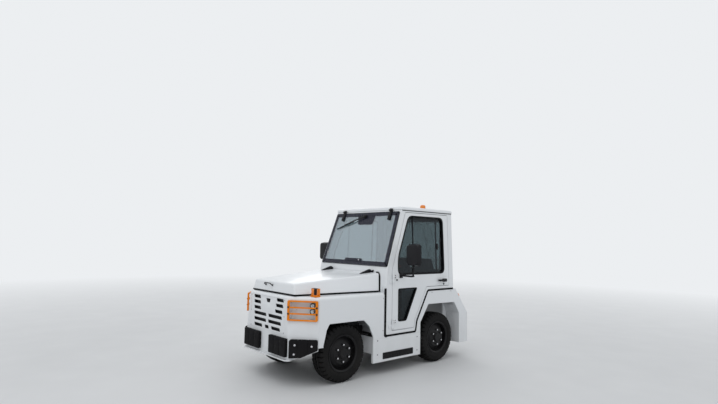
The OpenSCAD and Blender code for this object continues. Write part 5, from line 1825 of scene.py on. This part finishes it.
def skirts():
    """The trim of the side skirts."""
    heads = []
    for u, v in ((-0.390, 0.410), (-0.390, 0.247), (0.310, 0.383), (0.310, 0.217)):
        heads.append(placed(shifted(round_bolt(0.009, 0.004), u, v), SIDE))
    for u, v in ((-0.303, 0.905), (-0.303, 0.52), (0.60, 0.93), (1.0, 0.93)):
        heads.append(placed(shifted(round_bolt(0.006, 0.004), u, v), SIDE))
    piece("skirt_bolts", heads, "bolt_steel", pair=True)
    rim = shifted(ring(rect(CAB_Y - 0.034, 0.183, CAB_Y + 0.500, 0.259),
                       0.012, 0.005, 0.008, 0.0015), w=-0.001)
    bars = [
        shifted(plate(rect(u - 0.0015, 0.190, u + 0.0015, 0.252), 0.004), w=-0.002)
        for u in (CAB_Y - 0.020 + 0.0148 * i for i in range(35))
    ]
    rows = [
        shifted(plate(rect(CAB_Y - 0.026, v - 0.0012, CAB_Y + 0.492, v + 0.0012), 0.003),
                w=-0.0016)
        for v in (0.198 + 0.0112 * i for i in range(5))
    ]
    piece("skirt_grilles", [rim, *bars, *rows], "black_plastic", plane=SIDE, pair=True)


def rear_panel():
    """The rubber blocks and lamps of the rear panel."""
    plane = rear_plane(REAR_Y)
    bm = pad_block([rect(u, 0.300, u + 0.1410, 0.550) for u in (0.110, 0.2545, 0.399)],
                   BLOCK_OUT, 0.012)
    piece("rear_blocks", bm, "pad_rubber", replaces=["rear_pads"], angle=28.0, plane=plane,
          pair=True)
    bolts = [shifted(round_bolt(0.009, 0.004), u, v, 0.0368)
             for u in (0.137, 0.513) for v in (0.330, 0.520)]
    piece("rear_block_bolts", bolts, "bright_steel", plane=plane, pair=True)
    piece("rear_lamp_shells", box((-0.666, 0.440, 0.0), (-0.574, 0.580, 0.014), 0.004),
          "black_plastic", replaces=["rear_lamps"], plane=plane, pair=True)
    for colour, v0, v1 in (("red", 0.444, 0.508), ("amber", 0.512, 0.548),
                           ("clear", 0.552, 0.576)):
        piece(f"rear_lamp_{colour}", box((-0.662, v0, 0.010), (-0.578, v1, 0.030), 0.006, 3),
              f"{colour}_lens", plane=plane, pair=True)
    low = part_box("tow_hitch")[0]
    heads = [shifted(hexagon(0.012, 0.011, 0.016), u, v, 0.025)
             for u in (-0.058, 0.058) for v in (low.z + 0.018, 0.492)]
    piece("hitch_bolts", heads, "bolt_steel", plane=plane)


class TUG_OT_lower_body(bpy.types.Operator):
    """Makes the skirts' bolts and vent grilles, the rear pads, rear lamps and hitch bolts"""

    bl_idname = "tug.lower_body"
    bl_label = "Lower body"

    def execute(self, context):
        skirts()
        rear_panel()
        return {"FINISHED"}


# Chassis


class TUG_OT_chassis(bpy.types.Operator):
    """Makes the spring clamps and motor fins under the body"""

    bl_idname = "tug.chassis"
    bl_label = "Chassis"

    def execute(self, context):
        clamps = []
        for place, y in WHEEL_YS.items():
            lift = 0.044 if place == "rear" else 0.030
            for s in (-0.045, 0.045):
                for x in (0.222, 0.278):
                    clamps.append(rod((x, y + s, HUB_Z - lift - 0.02),
                                      (x, y + s, HUB_Z + lift + 0.055), 0.006))
                    clamps.append(placed(hexagon(0.010, 0.010),
                                         Matrix.Translation((x, y + s, HUB_Z + lift + 0.045))))
            clamps.append(box((0.212, y - 0.06, HUB_Z + lift + 0.031),
                              (0.288, y + 0.06, HUB_Z + lift + 0.044), 0.003))
            clamps.append(box((0.212, y - 0.06, HUB_Z - lift - 0.026),
                              (0.288, y + 0.06, HUB_Z - lift - 0.012), 0.003))
        piece("spring_clamps", clamps, "chassis_paint", pair=True)
        fins = [
            placed(lathe([(0.080, 0), (0.096, 0), (0.096, 0.004), (0.080, 0.004)], 40, closed=True),
                   axes((0, y, HUB_Z), (1, 0, 0), (0, 0, 1), (0, -1, 0)))
            for y in (0.36 + 0.022 * i for i in range(11))
        ]
        piece("motor_fins", fins, "chassis_paint")
        return {"FINISHED"}


STEPS = (
    TUG_OT_finishes, TUG_OT_stage, TUG_OT_wheels, TUG_OT_front, TUG_OT_bonnet, TUG_OT_cab,
    TUG_OT_doors, TUG_OT_inside, TUG_OT_seats, TUG_OT_lower_body, TUG_OT_chassis,
)


class TUG_PT_panel(bpy.types.Panel):
    """Lists the steps that build the tug's looks"""

    bl_label = "Baggage tug"
    bl_space_type = "VIEW_3D"
    bl_region_type = "UI"
    bl_category = "Tug"

    def draw(self, context):
        for group in (context.scene.tug_sizes, context.scene.tug_colours):
            box_area = self.layout.box()
            for name in group.bl_rna.properties.keys():
                if name not in ("rna_type", "name"):
                    box_area.prop(group, name)
        for step in STEPS:
            self.layout.operator(step.bl_idname)


CLASSES = (TugSizes, TugColours, *STEPS, TUG_PT_panel)


def register():
    """Registers the add-on's classes and its two groups of values."""
    for cls in CLASSES:
        bpy.utils.register_class(cls)
    bpy.types.Scene.tug_sizes = bpy.props.PointerProperty(type=TugSizes)
    bpy.types.Scene.tug_colours = bpy.props.PointerProperty(type=TugColours)


def unregister():
    """Takes them away again."""
    del bpy.types.Scene.tug_colours
    del bpy.types.Scene.tug_sizes
    for cls in reversed(CLASSES):
        bpy.utils.unregister_class(cls)


def main():
    """Builds the tug."""
    register()
    for step in STEPS:
        group, name = step.bl_idname.split(".")
        getattr(getattr(bpy.ops, group), name)()


if __name__ == "__main__":
    main()
